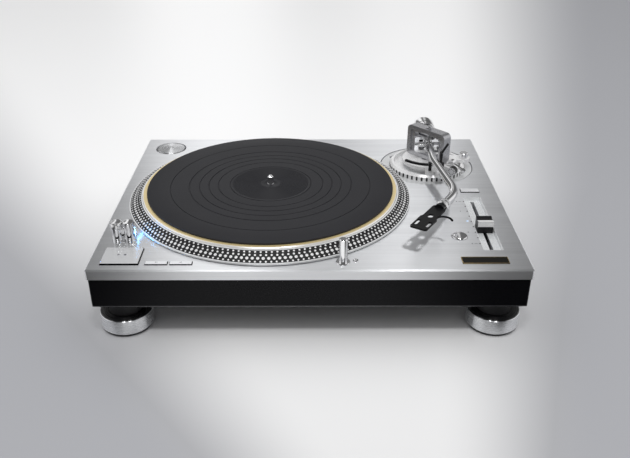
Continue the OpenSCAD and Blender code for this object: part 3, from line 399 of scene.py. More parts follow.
DEEP_BLACK = (0.004, 0.004, 0.005)
PLASTIC_BLACK = (0.010, 0.010, 0.011)
# How far a brushed surface's hairlines and bands are stretched, along the brush and across it
HAIR_LONG = 9.0
HAIR_FINE = 1500.0
BAND_LONG = 2.5
BAND_FINE = 120.0
BAND_RANGE = (0.35, 0.65)
# The brush runs along X, turned a little so that the sheen is also set on faces across X
BRUSH_ALONG = (1.0, 0.004, 0.0)
# How fine the rings of a turned surface are, and the turn that lays its sheen across them
TURN_FINE = 1800.0
TURN_SHEEN = 0.25


def brushed_metal(name, color, roughness, stretch=1.0, shade_below=0.0, metallic=1.0):
    """Metal brushed along X, with hairlines, bands and a sheen across them, and painted black as shade below a
    given height.
    """
    finish = Finish(name, color, roughness, metallic, {"Anisotropic": stretch})
    hair = finish.noise(finish.place((HAIR_LONG, HAIR_FINE, HAIR_FINE)), detail=3.0)
    band = finish.noise(finish.place((BAND_LONG, BAND_FINE, BAND_FINE)))
    both = finish.math("MULTIPLY", finish.math("ADD", hair, band), 0.5)
    finish.shades(finish.spread(both, *BAND_RANGE), darker=0.93, lighter=1.05)
    finish.rough(hair, change=0.04)
    finish.bump(hair, distance=0.00002, strength=0.3)
    facing = finish.node("NewGeometry").outputs["True Normal"]
    across = finish.node("VectorMath", {0: facing, 1: BRUSH_ALONG}, operation="CROSS_PRODUCT")
    finish.feed("Tangent", across.outputs[0])
    # A key's sides are painted black below this height, as painted shade
    if shade_below:
        below = finish.math("LESS_THAN", finish.height(), shade_below * MM)
        finish.feed("Base Color", finish.mix(below, color, DEEP_BLACK))
        finish.feed("Metallic", finish.spread(below, 0.0, 1.0, metallic, 1.0))
    return finish.material


def turned_metal(name, color, roughness, origin, stretch=0.75, cap=0.0):
    """Metal turned round Z, with fine rings and a sheen across them, and black rubber above its cap."""
    sheen = {"Anisotropic": stretch, "Anisotropic Rotation": TURN_SHEEN}
    finish = Finish(name, color, roughness, 1.0, sheen)
    ways = (finish.radius(origin), finish.height(origin))
    rings = finish.vector(*[finish.math("MULTIPLY", way, TURN_FINE) for way in ways])
    groove = finish.noise(rings, detail=3.0)
    finish.shades(groove, darker=0.9, lighter=1.06)
    finish.rough(groove, change=0.04)
    finish.bump(groove, distance=0.00002, strength=0.25)
    finish.feed("Tangent", finish.node("Tangent", direction_type="RADIAL", axis="Z").outputs[0])
    if cap:
        above = finish.math("GREATER_THAN", finish.height(), cap * MM)
        finish.feed("Base Color", finish.mix(above, color, PLASTIC_BLACK))
        finish.feed("Metallic", finish.spread(above, 0.0, 1.0, 1.0, 0.0))
    return finish.material


def polished_metal(name, color, roughness):
    """Bright plated or polished metal, with faint smears."""
    finish = Finish(name, color, roughness, 1.0)
    smear = finish.noise(finish.place(), scale=160.0, detail=3.0)
    finish.rough(smear, change=roughness * 0.4)
    finish.shades(smear, darker=0.96, lighter=1.03)
    return finish.material


def cast_metal(name, color, roughness, grain=1400.0, metallic=1.0):
    """Painted or blasted metal with a fine grain."""
    finish = Finish(name, color, roughness, metallic)
    speck = finish.noise(finish.place(), grain)
    finish.shades(speck, darker=0.85, lighter=1.12)
    finish.rough(speck, change=0.05)
    finish.bump(speck, distance=0.00003, strength=0.35)
    return finish.material


def moulded(name, color, roughness, grain=1600.0, coarse=0.00004, shine=0.5):
    """Moulded plastic or rubber with a fine tooth and a slow change of shade."""
    finish = Finish(name, color, roughness, 0.0, {"Specular IOR Level": shine})
    tooth = finish.noise(finish.place(), grain)
    cloud = finish.noise(finish.place(), scale=18.0)
    finish.shades(cloud, darker=0.85, lighter=1.15)
    finish.rough(tooth, change=0.06)
    finish.bump(tooth, coarse, strength=0.4)
    return finish.material


def glowing(name, color, strength):
    """A lit lens with a slightly uneven colour."""
    glow = {"Emission Color": (*color, 1.0), "Emission Strength": strength}
    finish = Finish(name, color, 0.15, 0.0, glow)
    cloud = finish.noise(finish.place(), scale=300.0, detail=1.0)
    finish.shades(cloud, darker=0.9, lighter=1.1)
    return finish.material


def ink(name, color):
    """Printed marks: flat ink with a slightly uneven film."""
    finish = Finish(name, color, 0.55)
    film = finish.noise(finish.place(), scale=900.0, detail=1.0)
    finish.shades(film, darker=0.85, lighter=1.1)
    finish.rough(film, change=0.08)
    return finish.material


# Finishes of one solid alone

# Radius and height of the black cone's head and foot, and how far short of them the black stops
CONE_HEAD = (151.6, 97.9)
CONE_FOOT = (165.2, 89.9)
CONE_EDGE = 0.25
LIP_METALLIC = 0.3
PLATTER_SILVER = (0.86, 0.87, 0.88)
PLATTER_ROUGH = (0.16, 0.42)
PLATTER_SPECK = 0.2
# Radius where the brass gives way to a pale painted highlight along its outer edge
BRASS_EDGE = 149.0
BRASS_PALE = (0.84, 0.68, 0.36)
BRASS_HIGHLIGHT = (0.95, 0.93, 0.90)
BRASS_FINE = 1500.0
# How deep the pale face of the anti-skate dial goes
DIAL_FACE = 0.3
DIAL_PALE = (0.62, 0.62, 0.64)
BOARD_GREEN = (0.02, 0.11, 0.05)
BOARD_TRACK = (0.06, 0.22, 0.10)
WINDOW_LENS = (0.12, 0.35, 1.0)
WINDOW_LIGHT = (0.10, 0.42, 1.0)
WINDOW_GLOW = 34.0
# How fine the window's lens is along X, Y and Z
WINDOW_FINE = (1, 1, 40)


def platter_metal():
    """Turned aluminium with a black satin cone."""
    finish = Finish("platter_metal", PLATTER_SILVER, PLATTER_ROUGH[0], LIP_METALLIC)
    height = finish.height()
    above = finish.math("GREATER_THAN", height, (CONE_FOOT[1] + CONE_EDGE) * MM)
    below = finish.math("LESS_THAN", height, (CONE_HEAD[1] - CONE_EDGE) * MM)
    outside = finish.math("GREATER_THAN", finish.radius(SPINDLE * MM), CONE_HEAD[0] * MM - 2 * WELD)
    black = finish.math("MULTIPLY", finish.math("MULTIPLY", above, below), outside)
    speck = finish.noise(finish.place(), scale=900.0)
    dull = finish.math("ADD", black, finish.math("MULTIPLY", speck, PLATTER_SPECK))
    finish.feed("Base Color", finish.mix(black, PLATTER_SILVER, PLASTIC_BLACK))
    finish.feed("Metallic", finish.spread(black, 0.0, 1.0, LIP_METALLIC, 0.0))
    finish.feed("Roughness", finish.spread(dull, 0.0, 1.0 + PLATTER_SPECK, *PLATTER_ROUGH))
    return finish.material


def brass_ring():
    """A brass disc with fine turned rings and a painted highlight along its outer edge."""
    finish = Finish("brass_ring", BRASS_PALE, 0.24, 0.45)
    radius = finish.radius(SPINDLE * MM)
    # Out from this radius the colour is a pale painted highlight
    edge = finish.math("GREATER_THAN", radius, BRASS_EDGE * MM)
    finish.feed("Base Color", finish.mix(edge, BRASS_PALE, BRASS_HIGHLIGHT))
    groove = finish.noise(finish.vector(finish.math("MULTIPLY", radius, BRASS_FINE)), detail=3.0)
    finish.rough(groove, change=0.06)
    finish.bump(groove, distance=0.00002, strength=0.3)
    return finish.material


def end_of(node, axis):
    """How far a solid reaches along an axis, in metres."""
    return max(v.co.dot(axis) for v in NODES[node].data.vertices)


def faced_dial(node, joint):
    """A black dial with a pale satin face."""
    axis = Vector(JOINTS[joint]["axis"]).normalized()
    finish = Finish("faced_" + node, DIAL_PALE, 0.40)
    reach = finish.node("VectorMath", {0: finish.place(), 1: axis}, operation="DOT_PRODUCT")
    face = finish.math("GREATER_THAN", reach.outputs["Value"], end_of(node, axis) - DIAL_FACE * MM)
    finish.feed("Base Color", finish.mix(face, PLASTIC_BLACK, DIAL_PALE))
    finish.rough(finish.noise(finish.place(), scale=900.0), change=0.06)
    return finish.material


def board_lacquer():
    """Green lacquered circuit board with paler tracks."""
    finish = Finish("board_lacquer", BOARD_GREEN, 0.35)
    bricks = finish.node("TexBrick", {"Vector": finish.place(), "Scale": 90.0, "Mortar Size": 0.03})
    tracks = bricks.outputs["Fac"]
    finish.feed("Base Color", finish.mix(tracks, BOARD_GREEN, BOARD_TRACK))
    finish.bump(tracks, distance=0.00005, strength=0.4)
    return finish.material


def window_blue():
    """The strobe's lit window, with fine level streaks in its lens."""
    glow = {"Emission Color": (*WINDOW_LIGHT, 1.0), "Emission Strength": WINDOW_GLOW}
    finish = Finish("window_blue", WINDOW_LENS, 0.12, 0.0, glow)
    lens = finish.noise(finish.place(WINDOW_FINE), scale=60.0, detail=1.0)
    finish.rough(lens, change=0.05)
    return finish.material


# The finish of each solid

FINE_GRAIN = 3600.0
RUBBER_GRAIN = 1100.0
TURNED_SILVER = (0.82, 0.83, 0.85)

brushed_top = brushed_metal("brushed_top", (0.86, 0.87, 0.89), 0.42)
brushed_disc = brushed_metal("brushed_disc", (0.88, 0.89, 0.90), 0.36, stretch=0.5, metallic=0.6)
trough_metal = cast_metal("trough_metal", (0.80, 0.82, 0.83), 0.28, FINE_GRAIN, metallic=0.35)
trough_pale = cast_metal("trough_pale", (0.88, 0.89, 0.90), 0.35, FINE_GRAIN, metallic=0.1)
chrome = polished_metal("chrome", (0.88, 0.88, 0.89), 0.09)
silver = polished_metal("silver", (0.86, 0.86, 0.87), 0.16)
dot_silver = cast_metal("dot_silver", (0.95, 0.95, 0.96), 0.30, grain=600.0, metallic=0.25)
satin_silver = cast_metal("satin_silver", (0.93, 0.93, 0.94), 0.26, FINE_GRAIN, metallic=0.22)
steel = polished_metal("steel", (0.62, 0.62, 0.64), 0.20)
gold = polished_metal("gold", (0.86, 0.64, 0.30), 0.22)
frame_grey = cast_metal("frame_grey", (0.50, 0.50, 0.52), 0.28, FINE_GRAIN, metallic=0.85)
bush_grey = cast_metal("bush_grey", (0.40, 0.41, 0.43), 0.45)
magnet_black = cast_metal("magnet_black", (0.05, 0.05, 0.055), 0.6)
copper = turned_metal("copper", (0.80, 0.36, 0.18), 0.30, SPINDLE * MM)
turned_adapter = turned_metal("turned_record_adapter", TURNED_SILVER, 0.26,
                              middle("record_adapter") * MM, stretch=1.0)
cabinet_black = moulded("cabinet_black", DEEP_BLACK, 0.26, shine=0.12)
base_black = moulded("base_black", (0.050, 0.050, 0.054), 0.22, RUBBER_GRAIN, coarse=0.00002, shine=0.9)
rubber_black = moulded("rubber_black", (0.020, 0.020, 0.022), 0.62, RUBBER_GRAIN, coarse=0.00006)
mat_black = moulded("mat_black", (0.019, 0.019, 0.023), 0.58, grain=1300.0, coarse=0.00005, shine=0.4)
plastic_black = moulded("plastic_black", PLASTIC_BLACK, 0.30, shine=0.25)
shell_black = moulded("shell_black", (0.007, 0.007, 0.008), 0.36, shine=0.15)
badge_black = moulded("badge_black", (0.010, 0.009, 0.007), 0.20, shine=0.12)
ink_black = ink("ink_black", (0.015, 0.015, 0.017))
ink_grey = ink("ink_grey", (0.16, 0.16, 0.18))
ink_white = ink("ink_white", (0.80, 0.80, 0.80))
lens_blue = glowing("lens_blue", (0.55, 0.72, 1.0), 0.35)

# Each finish with the solids that have it
WORN_BY = (
    (brushed_top, "top_plate"),
    (brushed_disc, "arm_base"),
    (satin_silver, "arm_platform height_ring"),
    (trough_metal, "fader_trough"),
    (chrome, "strobe_housing stylus_light light_sleeve light_release pitch_reset_key spindle"),
    (chrome, "cue_lever arm_tube arm_block counterweight lock_nut"),
    (silver, "power_knob lock_knob gimbal_ring"),
    (steel, "pivot_screws base_screws"),
    (gold, "bearing_housing phono_terminals"),
    (frame_grey, "bearing_frame"),
    (bush_grey, "weight_bush motor_frame"),
    (magnet_black, "rotor_magnet"),
    (copper, "stator_coils"),
    (turned_adapter, "record_adapter"),
    (platter_metal(), "platter"),
    (brass_ring(), "platter_brass_top"),
    (mat_black, "mat"),
    (cabinet_black, "cabinet hinge_sockets terminal_panel power_inlet"),
    (base_black, "rubber_base"),
    (rubber_black, "foot_cores"),
    (plastic_black, "fader_knob fader_body pressure_dial arm_rest rest_clip arm_lifter"),
    (shell_black, "headshell finger_lift"),
    (badge_black, "badge_plate"),
    (board_lacquer(), "power_supply control_board pitch_board"),
    (faced_dial("anti_skate_dial", "anti_skate_turn"), "anti_skate_dial"),
    (window_blue(), "strobe_window"),
)
FINISH_OF = {node_name: worn for worn, node_names in WORN_BY for node_name in node_names.split()}
# The foot's rubber reaches out over the ring to its edge
RING_LIP = 0.9
for corner in ("front_left", "front_right", "rear_left", "rear_right"):
    ring_node = "foot_ring_" + corner
    FINISH_OF[ring_node] = turned_metal("turned_" + ring_node, TURNED_SILVER, 0.28, middle(ring_node) * MM,
                                        stretch=1.0, cap=box(ring_node)[1].z - RING_LIP)
# How bright each flat key is, with a cool tint, and how deep its bright face goes; below it the key's sides are
# painted black as shade
KEY_TONES = {"start_stop_key": 0.72, "speed_33_key": 0.92, "speed_45_key": 0.92, "pitch_range_key": 0.86}
KEY_TINT = (1.0, 1.01, 1.03)
KEY_FACE = 0.3
for key_node, tone in KEY_TONES.items():
    tint = [tone * part for part in KEY_TINT]
    FINISH_OF[key_node] = brushed_metal("brushed_" + key_node, tint, 0.40, stretch=0.8,
                                        shade_below=box(key_node)[1].z - KEY_FACE, metallic=0.5)
for node_name, node_object in NODES.items():
    node_object.material_slots[0].material = FINISH_OF[node_name]


# Platter: mat with its grooves, and four rows of strobe dots on the cone

# Each wide groove's radius and width
MAT_GROOVES = ((118.0, 1.0), (96.0, 1.7), (84.0, 1.0), (73.0, 1.3), (62.0, 1.0), (48.0, 1.0))
MAT_GROOVE_D = 0.7
# Across a groove, as shares of its width and its depth
GROOVE_LINE = ((0.5, 0.0), (0.28, 1.0), (-0.28, 1.0), (-0.5, 0.0))
# The fine rings' first and last radius, and their pitch
MAT_RINGS = (45.0, 12.0, 1.65)
MAT_RING_D = 0.5
MAT_HOLE_R = 3.975
MAT_HOLE_EDGE = 0.3
MAT_FOOT = 0.5
# The mat's rounded top edge, as steps of (inset, drop)
MAT_BROW = ((0.0, 0.9), (0.25, 0.3), (0.9, 0.0))
MAT_STEPS = 180
# Each row's share of the way down the cone, the radius of its dots and their count
DOT_ROWS = ((0.14, 1.10, 170), (0.37, 1.22, 174), (0.61, 1.75, 180), (0.86, 1.10, 186))
DOT_SIDES = 10
# A dot from its foot to its top, as the share of its radius and the height
DOT_LINE = ((1.0, -0.05), (0.92, 0.132), (0.6, 0.22))


def mat_skin():
    """The mat: a disc with a rounded edge, wide grooves and fine rings round its hole."""
    bottom, top = [corner.z for corner in box("mat")]
    radius = half_width("mat")
    profile = [(MAT_HOLE_R, bottom), (radius - MAT_FOOT, bottom), (radius, bottom + MAT_FOOT)]
    profile += [(radius - inset, top - drop) for inset, drop in MAT_BROW]
    for groove, width in MAT_GROOVES:
        profile += [(groove + share * width, top - deep * MAT_GROOVE_D) for share, deep in GROOVE_LINE]
    ring, last, pitch = MAT_RINGS
    while ring > last:
        profile += [(ring, top), (ring - pitch / 2, top - MAT_RING_D)]
        ring -= pitch
    profile += [(last, top), (MAT_HOLE_R + MAT_HOLE_EDGE, top), (MAT_HOLE_R, top - MAT_HOLE_EDGE)]
    return moved(turned(profile, MAT_STEPS), at((SPINDLE.x, SPINDLE.y, 0)))


def dot_skin(radius, spot, angle):
    """A low round stud on the cone, with its top faceted like a turned dot."""
    around = Vector((-math.sin(angle), math.cos(angle), 0))
    slope = Vector((CONE_FOOT[0] - CONE_HEAD[0], 0, CONE_FOOT[1] - CONE_HEAD[1])).normalized()
    down = Vector((slope.x * math.cos(angle), slope.x * math.sin(angle), slope.z))
    out = down.cross(around)
    rings = []
    for share, rise in DOT_LINE:
        ring = circle(radius * share, DOT_SIDES)
        rings.append([spot + around * a + down * b + out * rise for a, b in ring])
    return loft(rings)


def strobe_dots():
    skins = []
    for share, radius, count in DOT_ROWS:
        reach = CONE_HEAD[0] + share * (CONE_FOOT[0] - CONE_HEAD[0])
        height = CONE_HEAD[1] + share * (CONE_FOOT[1] - CONE_HEAD[1])
        for k in range(count):
            angle = 2 * math.pi * k / count
            x = SPINDLE.x + reach * math.cos(angle)
            y = SPINDLE.y + reach * math.sin(angle)
            skins.append(dot_skin(radius, Vector((x, y, height)), angle))
    return joined(skins)


piece("mat_rubber", mat_skin(), mat_black, "platter", ["mat"], sharp=50.0)
piece("strobe_dots", strobe_dots(), dot_silver, "platter")


# Arm: smooth tube, knurled nut, finger lift, counterweight and marks on the pressure dial

ARM_FIRST = 55.0
BEND_RADII = (100.0, 55.0)
TUBE_R = 4.8
TUBE_END = 36.0
TUBE_SIDES = 32
RUN_GAP = 0.05
# Edges and waists are steps of (inset, distance from an end)
NUT_FROM = 31.0
NUT_L = 11.0
NUT_R = 6.4
NUT_EDGE = ((0.9, 0.0), (0.2, 0.5), (0.0, 1.2))
NUT_WAIST = ((0.0, 4.2), (0.7, 4.6), (0.7, 5.4), (0.0, 5.8))
NUT_RIDGES = 36
NUT_RIDGE_D = 0.22
NUT_PLAIN = 0.1
WEIGHT_FROM = 37.0
WEIGHT_L = 24.0
WEIGHT_R = 14.0
WEIGHT_EDGE = ((2.6, 0.0), (1.0, 0.5), (0.2, 1.6), (0.0, 2.8))
WEIGHT_WAIST = ((0.0, 7.0), (0.9, 7.5), (0.9, 8.5), (0.0, 9.0))
WEIGHT_STEPS = 128
# The recess in the weight's rear end: its width outside and inside past the bore, and its depth
RECESS = (3.0, 2.4, 0.8)
# The finger lift: the middle of its arc from the shell's corner, and the angles of its root and tip
LIFT_AT = 71.5
LIFT_SIDE = 15.75
LIFT_UP = 1.2
LIFT_ARC_R = 9.4
LIFT_ROOT = 247.0
LIFT_TIP = 132.0
LIFT_DROOP = 1.2
LIFT_R = 1.25
LIFT_WAIST = 0.2
LIFT_ROUND = 0.05
LIFT_BLUNT = 0.04
LIFT_STEPS = 30
LIFT_SIDES = 14
DIAL_FROM = 31.0
DIAL_R = 12.5
DIAL_SINK = 0.02
DIAL_TICKS = 24
DIAL_LONG_EVERY = 4
# The length of a tick, and how far its middle is from the dial's front
DIAL_TICK = (1.4, 0.9)
DIAL_LONG_TICK = (2.2, 1.3)
DIAL_TICK_W = 0.35
DIAL_TICK_T = 0.08
DIAL_FIGURES = 4
DIAL_FIGURE_STEP = 60.0
DIAL_FIGURE_AT = 3.6
DIAL_FIGURE = (2.4, 0.1)
TICK_CORNER = 0.1


def arm_tube_skin():
    points = [PIVOT, PIVOT - ARM_BACK * ARM_FIRST, SHELL_CORNER, SHELL_CORNER + SHELL_AHEAD * TUBE_END]
    path = rounded_path(points, BEND_RADII)
    return swept(path, [circle(TUBE_R, TUBE_SIDES)] * len(path))


def lock_nut_skin():
    """The headshell's lock nut: two knurled bands with a plain waist."""
    bore = TUBE_R + RUN_GAP
    low, high = NUT_FROM, NUT_FROM + NUT_L
    profile = [(bore, low)] + barrel(NUT_R, low, high, NUT_EDGE, NUT_WAIST) + [(bore, high)]
    knurled = turned(profile, RIDGE_STEPS * NUT_RIDGES, NUT_RIDGE_D, NUT_R - NUT_PLAIN)
    return moved(knurled, along(SHELL_CORNER, SHELL_AHEAD))


def finger_lift_skin():
    """The finger lift: a tapering rod that leaves the shell, hooks round and droops a little at its tip."""
    centre = SHELL_CORNER + SHELL_AHEAD * LIFT_AT + SHELL_LEFT * LIFT_SIDE + UP * LIFT_UP
    path, sections = [], []
    for k in range(LIFT_STEPS + 1):
        share = k / LIFT_STEPS
        angle = math.radians(LIFT_ROOT + (LIFT_TIP - LIFT_ROOT) * share)
        spot = centre + (SHELL_AHEAD * math.cos(angle) + SHELL_LEFT * math.sin(angle)) * LIFT_ARC_R
        path.append(spot - UP * LIFT_DROOP * share ** 4)
        past = max(share - (1 - LIFT_ROUND), 0) / LIFT_ROUND
        end = math.sqrt(max(1 - past ** 2, LIFT_BLUNT))
        wide = (LIFT_R - LIFT_WAIST * math.sin(math.pi * share)) * end
        sections.append([(a * wide, b * wide) for a, b in circle(1.0, LIFT_SIDES)])
    return swept(path, sections)


def counterweight_skin():
    """The counterweight: a barrel with a waist and a recess in its rear end."""
    low_corner, high_corner = box("weight_bush")
    bore = (high_corner.z - low_corner.z) / 2 + RUN_GAP
    low, high = WEIGHT_FROM, WEIGHT_FROM + WEIGHT_L
    outside, inside, deep = RECESS
    profile = [(bore, low)] + barrel(WEIGHT_R, low, high, WEIGHT_EDGE, WEIGHT_WAIST)
    profile += [(bore + outside, high), (bore + inside, high - deep), (bore, high - deep)]
    return moved(turned(profile, WEIGHT_STEPS), along(PIVOT, ARM_BACK))


def dial_marks():
    """Tick marks and plain figures round the pressure dial's wall."""
    wall = DIAL_R - DIAL_SINK
    skins = []
    for k in range(DIAL_TICKS):
        length, reach = DIAL_TICK if k % DIAL_LONG_EVERY else DIAL_LONG_TICK
        spot = round_the_wall(PIVOT, ARM_BACK, wall, 360.0 / DIAL_TICKS * k, DIAL_FROM + reach)
        skins.append(moved(slab(DIAL_TICK_W, length, TICK_CORNER, DIAL_TICK_T), spot))
    for k in range(DIAL_FIGURES):
        angle = DIAL_FIGURE_STEP * (k + 0.5)
        spot = round_the_wall(PIVOT, ARM_BACK, wall, angle, DIAL_FROM + DIAL_FIGURE_AT)
        skins.append(moved(numeral(str(k), *DIAL_FIGURE), spot))
    return joined(skins)


piece("arm_tube_bent", arm_tube_skin(), chrome, "arm", ["arm_tube"])
piece("lock_nut_knurled", lock_nut_skin(), chrome, "lock_nut", ["lock_nut"])
piece("finger_lift_strip", finger_lift_skin(), shell_black, "arm", ["finger_lift"])
piece("counterweight_body", counterweight_skin(), chrome, "counterweight",
      ["counterweight"])
piece("pressure_dial_marks", dial_marks(), ink_white, "pressure_dial")


# Arm base: marks on the anti-skate dial, grip bars on the height ring and an index pad

RING_BARS = 48
# A grip bar's width, length and corner radius
RING_BAR = (2.3, 5.0, 0.5)
RING_BAR_T = 0.28
RING_BAR_SOFT = 0.1
RING_BAR_SINK = 0.12
RING_BAR_DOWN = 0.6
# The pad's place from the arm's pivot, and its level below the plate's top
PAD_AT = (-40.0, 33.0)
PAD_DOWN = 0.5
PAD_TURN = 40.0
PAD_T = 0.35
PAD_OUTLINE = ((-5.5, -3.4), (5.5, -3.0), (4.2, 3.6), (-4.4, 3.2))
SKATE_TICKS = 10
SKATE_TICK = (0.7, 1.9)
SKATE_TICK_R = 3.6
PRINT_T = 0.06
PRINT_SINK = 0.01


def ring_bars():
    """Dark grip bars round the height ring's wall."""
    wall = half_width("height_ring") - RING_BAR_SINK
    height = middle("height_ring").z - RING_BAR_DOWN
    skins = []
    for k in range(RING_BARS):
        spot = round_the_wall((PIVOT.x, PIVOT.y, 0), UP, wall, 360.0 * k / RING_BARS, height)
        skins.append(moved(slab(*RING_BAR, RING_BAR_T, RING_BAR_SOFT), spot))
    return joined(skins)


def index_pad():
    """A dark pad on the arm base, beside the height ring."""
    spot = (PIVOT.x + PAD_AT[0], PIVOT.y + PAD_AT[1], PLATE_TOP - PAD_DOWN)
    return moved(prism(PAD_OUTLINE, PAD_T), at(spot, PAD_TURN))


def skate_marks():
    """Tick marks on the face of the anti-skate dial."""
    joint = JOINTS["anti_skate_turn"]
    axis = Vector(joint["axis"]).normalized()
    centre = mm(joint["pos_m"])
    centre += axis * (end_of("anti_skate_dial", axis) / MM - centre.dot(axis))
    tick = moved(slab(*SKATE_TICK, TICK_CORNER, PRINT_T), at((0, SKATE_TICK_R, -PRINT_SINK)))
    skins = []
    for k in range(SKATE_TICKS):
        turn = Matrix.Rotation(2 * math.pi * k / SKATE_TICKS, 4, "Z")
        skins.append(moved(tick, along(centre, axis) @ turn))
    return joined(skins)


piece("anti_skate_marks", skate_marks(), ink_black, "anti_skate_dial")
piece("height_ring_bars", ring_bars(), ink_black, "height_ring")
piece("height_index_pad", index_pad(), ink_grey, "chassis")


# Top plate: power knob, strobe cap, round keys, fader band and scale, badge edge, lamp and key marks

POWER_H = 7.0
POWER_STEM_R = 2.5
POWER_FOOT = 0.7
# The power knob's and the strobe cap's rims, as steps of (inset, drop) and of (inset, height)
POWER_RIM = ((0.0, 0.9), (0.35, 0.25), (0.9, 0.0), (1.5, 0.1), (2.2, 0.6))
POWER_HOLLOW = 0.75
STROBE_R = 6.0
CAP_RIM = ((0.0, 0.2), (0.4, 0.55), (1.1, 0.6), (1.8, 0.2))
CAP_SINK = 0.1
CAP_HOLLOW = 0.1
KNOB_STEPS = 64
RESET_STEM_R = 2.5
RESET_BODY = 3.0
RESET_EDGE = 1.4
RESET_CROWN = 1.2
CROWN_STEPS = 6
RELEASE_SOFT = 1.0
RELEASE_STEPS = 48
BAND_BACK = -1.2
BAND_DOWN = 6.5
BAND_T = 0.15
BAND_STEPS = 8
DISH_D = 1.4
DRAFT = 0.6
TROUGH = (20.96, 125.96)
LINING_T = 0.3
LINING_CORNERS = (0.5, 0.3)
LINING_DOWN = 0.1
# The fader's scale: dots to each side of its middle, a line beside each end's dot, and figures
SCALE_X = 181.2
SCALE_FROM_FRONT = 104.15
SCALE_STEP = 12.56
SCALE_SIDE = 4
SCALE_DOT_R = 0.9
SCALE_DOT_SIDES = 20
SCALE_LINE = (3.6, 0.4)
SCALE_LINE_OFF = 4.2
SCALE_FIGURE = 3.2
SCALE_FIGURE_OFF = 8.2
LED_AT = (177.0, 105.0)
LED_R = 1.3
# The lamp's profile, as the share of its radius and the height over the plate
LED_LINE = ((0.0, -0.6), (1.0, -0.6), (1.0, 0.1), (0.8, 0.4), (0.4, 0.58), (0.0, 0.62))
LED_STEPS = 32
BADGE_EDGE = 0.6
BADGE_CORNERS = (0.6, 0.3)
BADGE_SINK = 0.2
BADGE_UP = 0.16
MARK_HALF = 1.5
MARK_SQUARE = 2.6
MARK_CORNER = 0.2
MARK_APART = 3.2
MARK_UP = 1.0
KEY_FIGURE = 3.0


def from_front(distance):
    """A place along Y, from the plate's front edge."""
    return PLATE_LOW.y + distance


def power_knob_skin():
    """The power knob with a rim round its hollow top, on its stem."""
    low, high = box("power_knob")
    radius = half_width("power_knob")
    foot = high.z - POWER_H
    profile = [(0.0, low.z), (POWER_STEM_R, low.z), (POWER_STEM_R, foot), (radius - POWER_FOOT, foot),
               (radius, foot + POWER_FOOT)]
    profile += [(radius - inset, high.z - drop) for inset, drop in POWER_RIM]
    profile.append((0.0, high.z - POWER_HOLLOW))
    return moved(turned(profile, KNOB_STEPS), over("power_knob"))


def strobe_cap_skin():
    """A shallow cap with a raised rim on the strobe column."""
    high = box("strobe_housing")[1]
    profile = [(0.0, -CAP_SINK), (STROBE_R, -CAP_SINK)]
    profile += [(STROBE_R - inset, height) for inset, height in CAP_RIM]
    profile.append((0.0, CAP_HOLLOW))
    return moved(turned(profile, KNOB_STEPS), at((high.x - STROBE_R, high.y - STROBE_R, high.z)))


def reset_key_skin():
    """A round key with a domed top on its stem."""
    low, high = box("pitch_reset_key")
    radius = half_width("pitch_reset_key")
    body_low = PLATE_TOP - RESET_BODY
    shoulder = high.z - RESET_CROWN
    profile = [(0.0, low.z), (RESET_STEM_R, low.z), (RESET_STEM_R, body_low), (radius, body_low)]
    profile += quarter_round(radius - RESET_EDGE, RESET_EDGE, shoulder - RESET_EDGE, RESET_EDGE)
    for k in range(1, CROWN_STEPS + 1):
        share = k / CROWN_STEPS
        profile.append(((radius - RESET_EDGE) * (1 - share), shoulder + RESET_CROWN * share * (2 - share)))
    return moved(turned(profile, KNOB_STEPS), over("pitch_reset_key"))


def release_skin():
    """The stylus light's release button with a domed top."""
    low, high = box("light_release")
    radius = half_width("light_release")
    profile = [(0.0, low.z), (radius, low.z)]
    profile += quarter_round(0.0, radius, high.z - RELEASE_SOFT, RELEASE_SOFT)
    return moved(turned(profile, RELEASE_STEPS), over("light_release"))


def fader_band():
    """A bright strip over the front crest of the fader knob, from its hollow down its front wall."""
    low, high = box("fader_knob")
    centre = middle("fader_knob")
    half = half_width("fader_knob")
    length = high.y - low.y
    rise = high.z - box("fader_trough")[1].z
    crest = -length / 2 + DRAFT
    line = []
    for k in range(BAND_STEPS + 1):
        y = BAND_BACK + (crest - BAND_BACK) * k / BAND_STEPS
        dip = max(DISH_D - length + math.sqrt(length ** 2 - y ** 2), 0.0)
        line.append((centre.y + y, high.z - dip))
    slope = DRAFT / rise
    line.append((centre.y + crest - slope * BAND_DOWN, high.z - BAND_DOWN))
    outer = [(y - BAND_T, z + BAND_T) for y, z in line]
    outline = line + list(reversed(outer))
    return loft([[(x, y, z) for y, z in outline] for x in (centre.x - half, centre.x + half)])


def trough_lining():
    """A thin pale wall round the inside of the fader's trough."""
    low, high = box("fader_trough")[1].z, PLATE_TOP - LINING_DOWN
    return moved(border(*TROUGH, LINING_T, LINING_CORNERS, low, high), over("fader_trough"))


def fader_scale():
    """Dots beside the fader, with a line at each end."""
    skins = []
    for k in range(-SCALE_SIDE, SCALE_SIDE + 1):
        spot = Vector((SCALE_X, from_front(SCALE_FROM_FRONT + k * SCALE_STEP), PLATE_TOP - PRINT_SINK))
        skins.append(moved(prism(circle(SCALE_DOT_R, SCALE_DOT_SIDES), PRINT_T), at(spot)))
        if abs(k) == SCALE_SIDE:
            line = slab(*SCALE_LINE, TICK_CORNER, PRINT_T)
            skins.append(moved(line, at(spot - Vector((SCALE_LINE_OFF, 0, 0)))))
    return joined(skins)


def scale_figures():
    """Plain figures beside every second dot, apart from the middle one."""
    skins = []
    for k in range(-SCALE_SIDE, SCALE_SIDE + 1, 2):
        spot = (SCALE_X - SCALE_FIGURE_OFF, from_front(SCALE_FROM_FRONT + k * SCALE_STEP), PLATE_TOP)
        if k:
            skins.append(moved(numeral(str(abs(2 * k)), SCALE_FIGURE, PRINT_T), at(spot)))
    return joined(skins)


def badge_edge():
    """A thin bright border round the blank badge."""
    low, high = box("badge_plate")
    size = (high.x - low.x, high.y - low.y)
    edge = border(*size, BADGE_EDGE, BADGE_CORNERS, -BADGE_SINK, BADGE_UP)
    return moved(edge, at(top_of("badge_plate")))


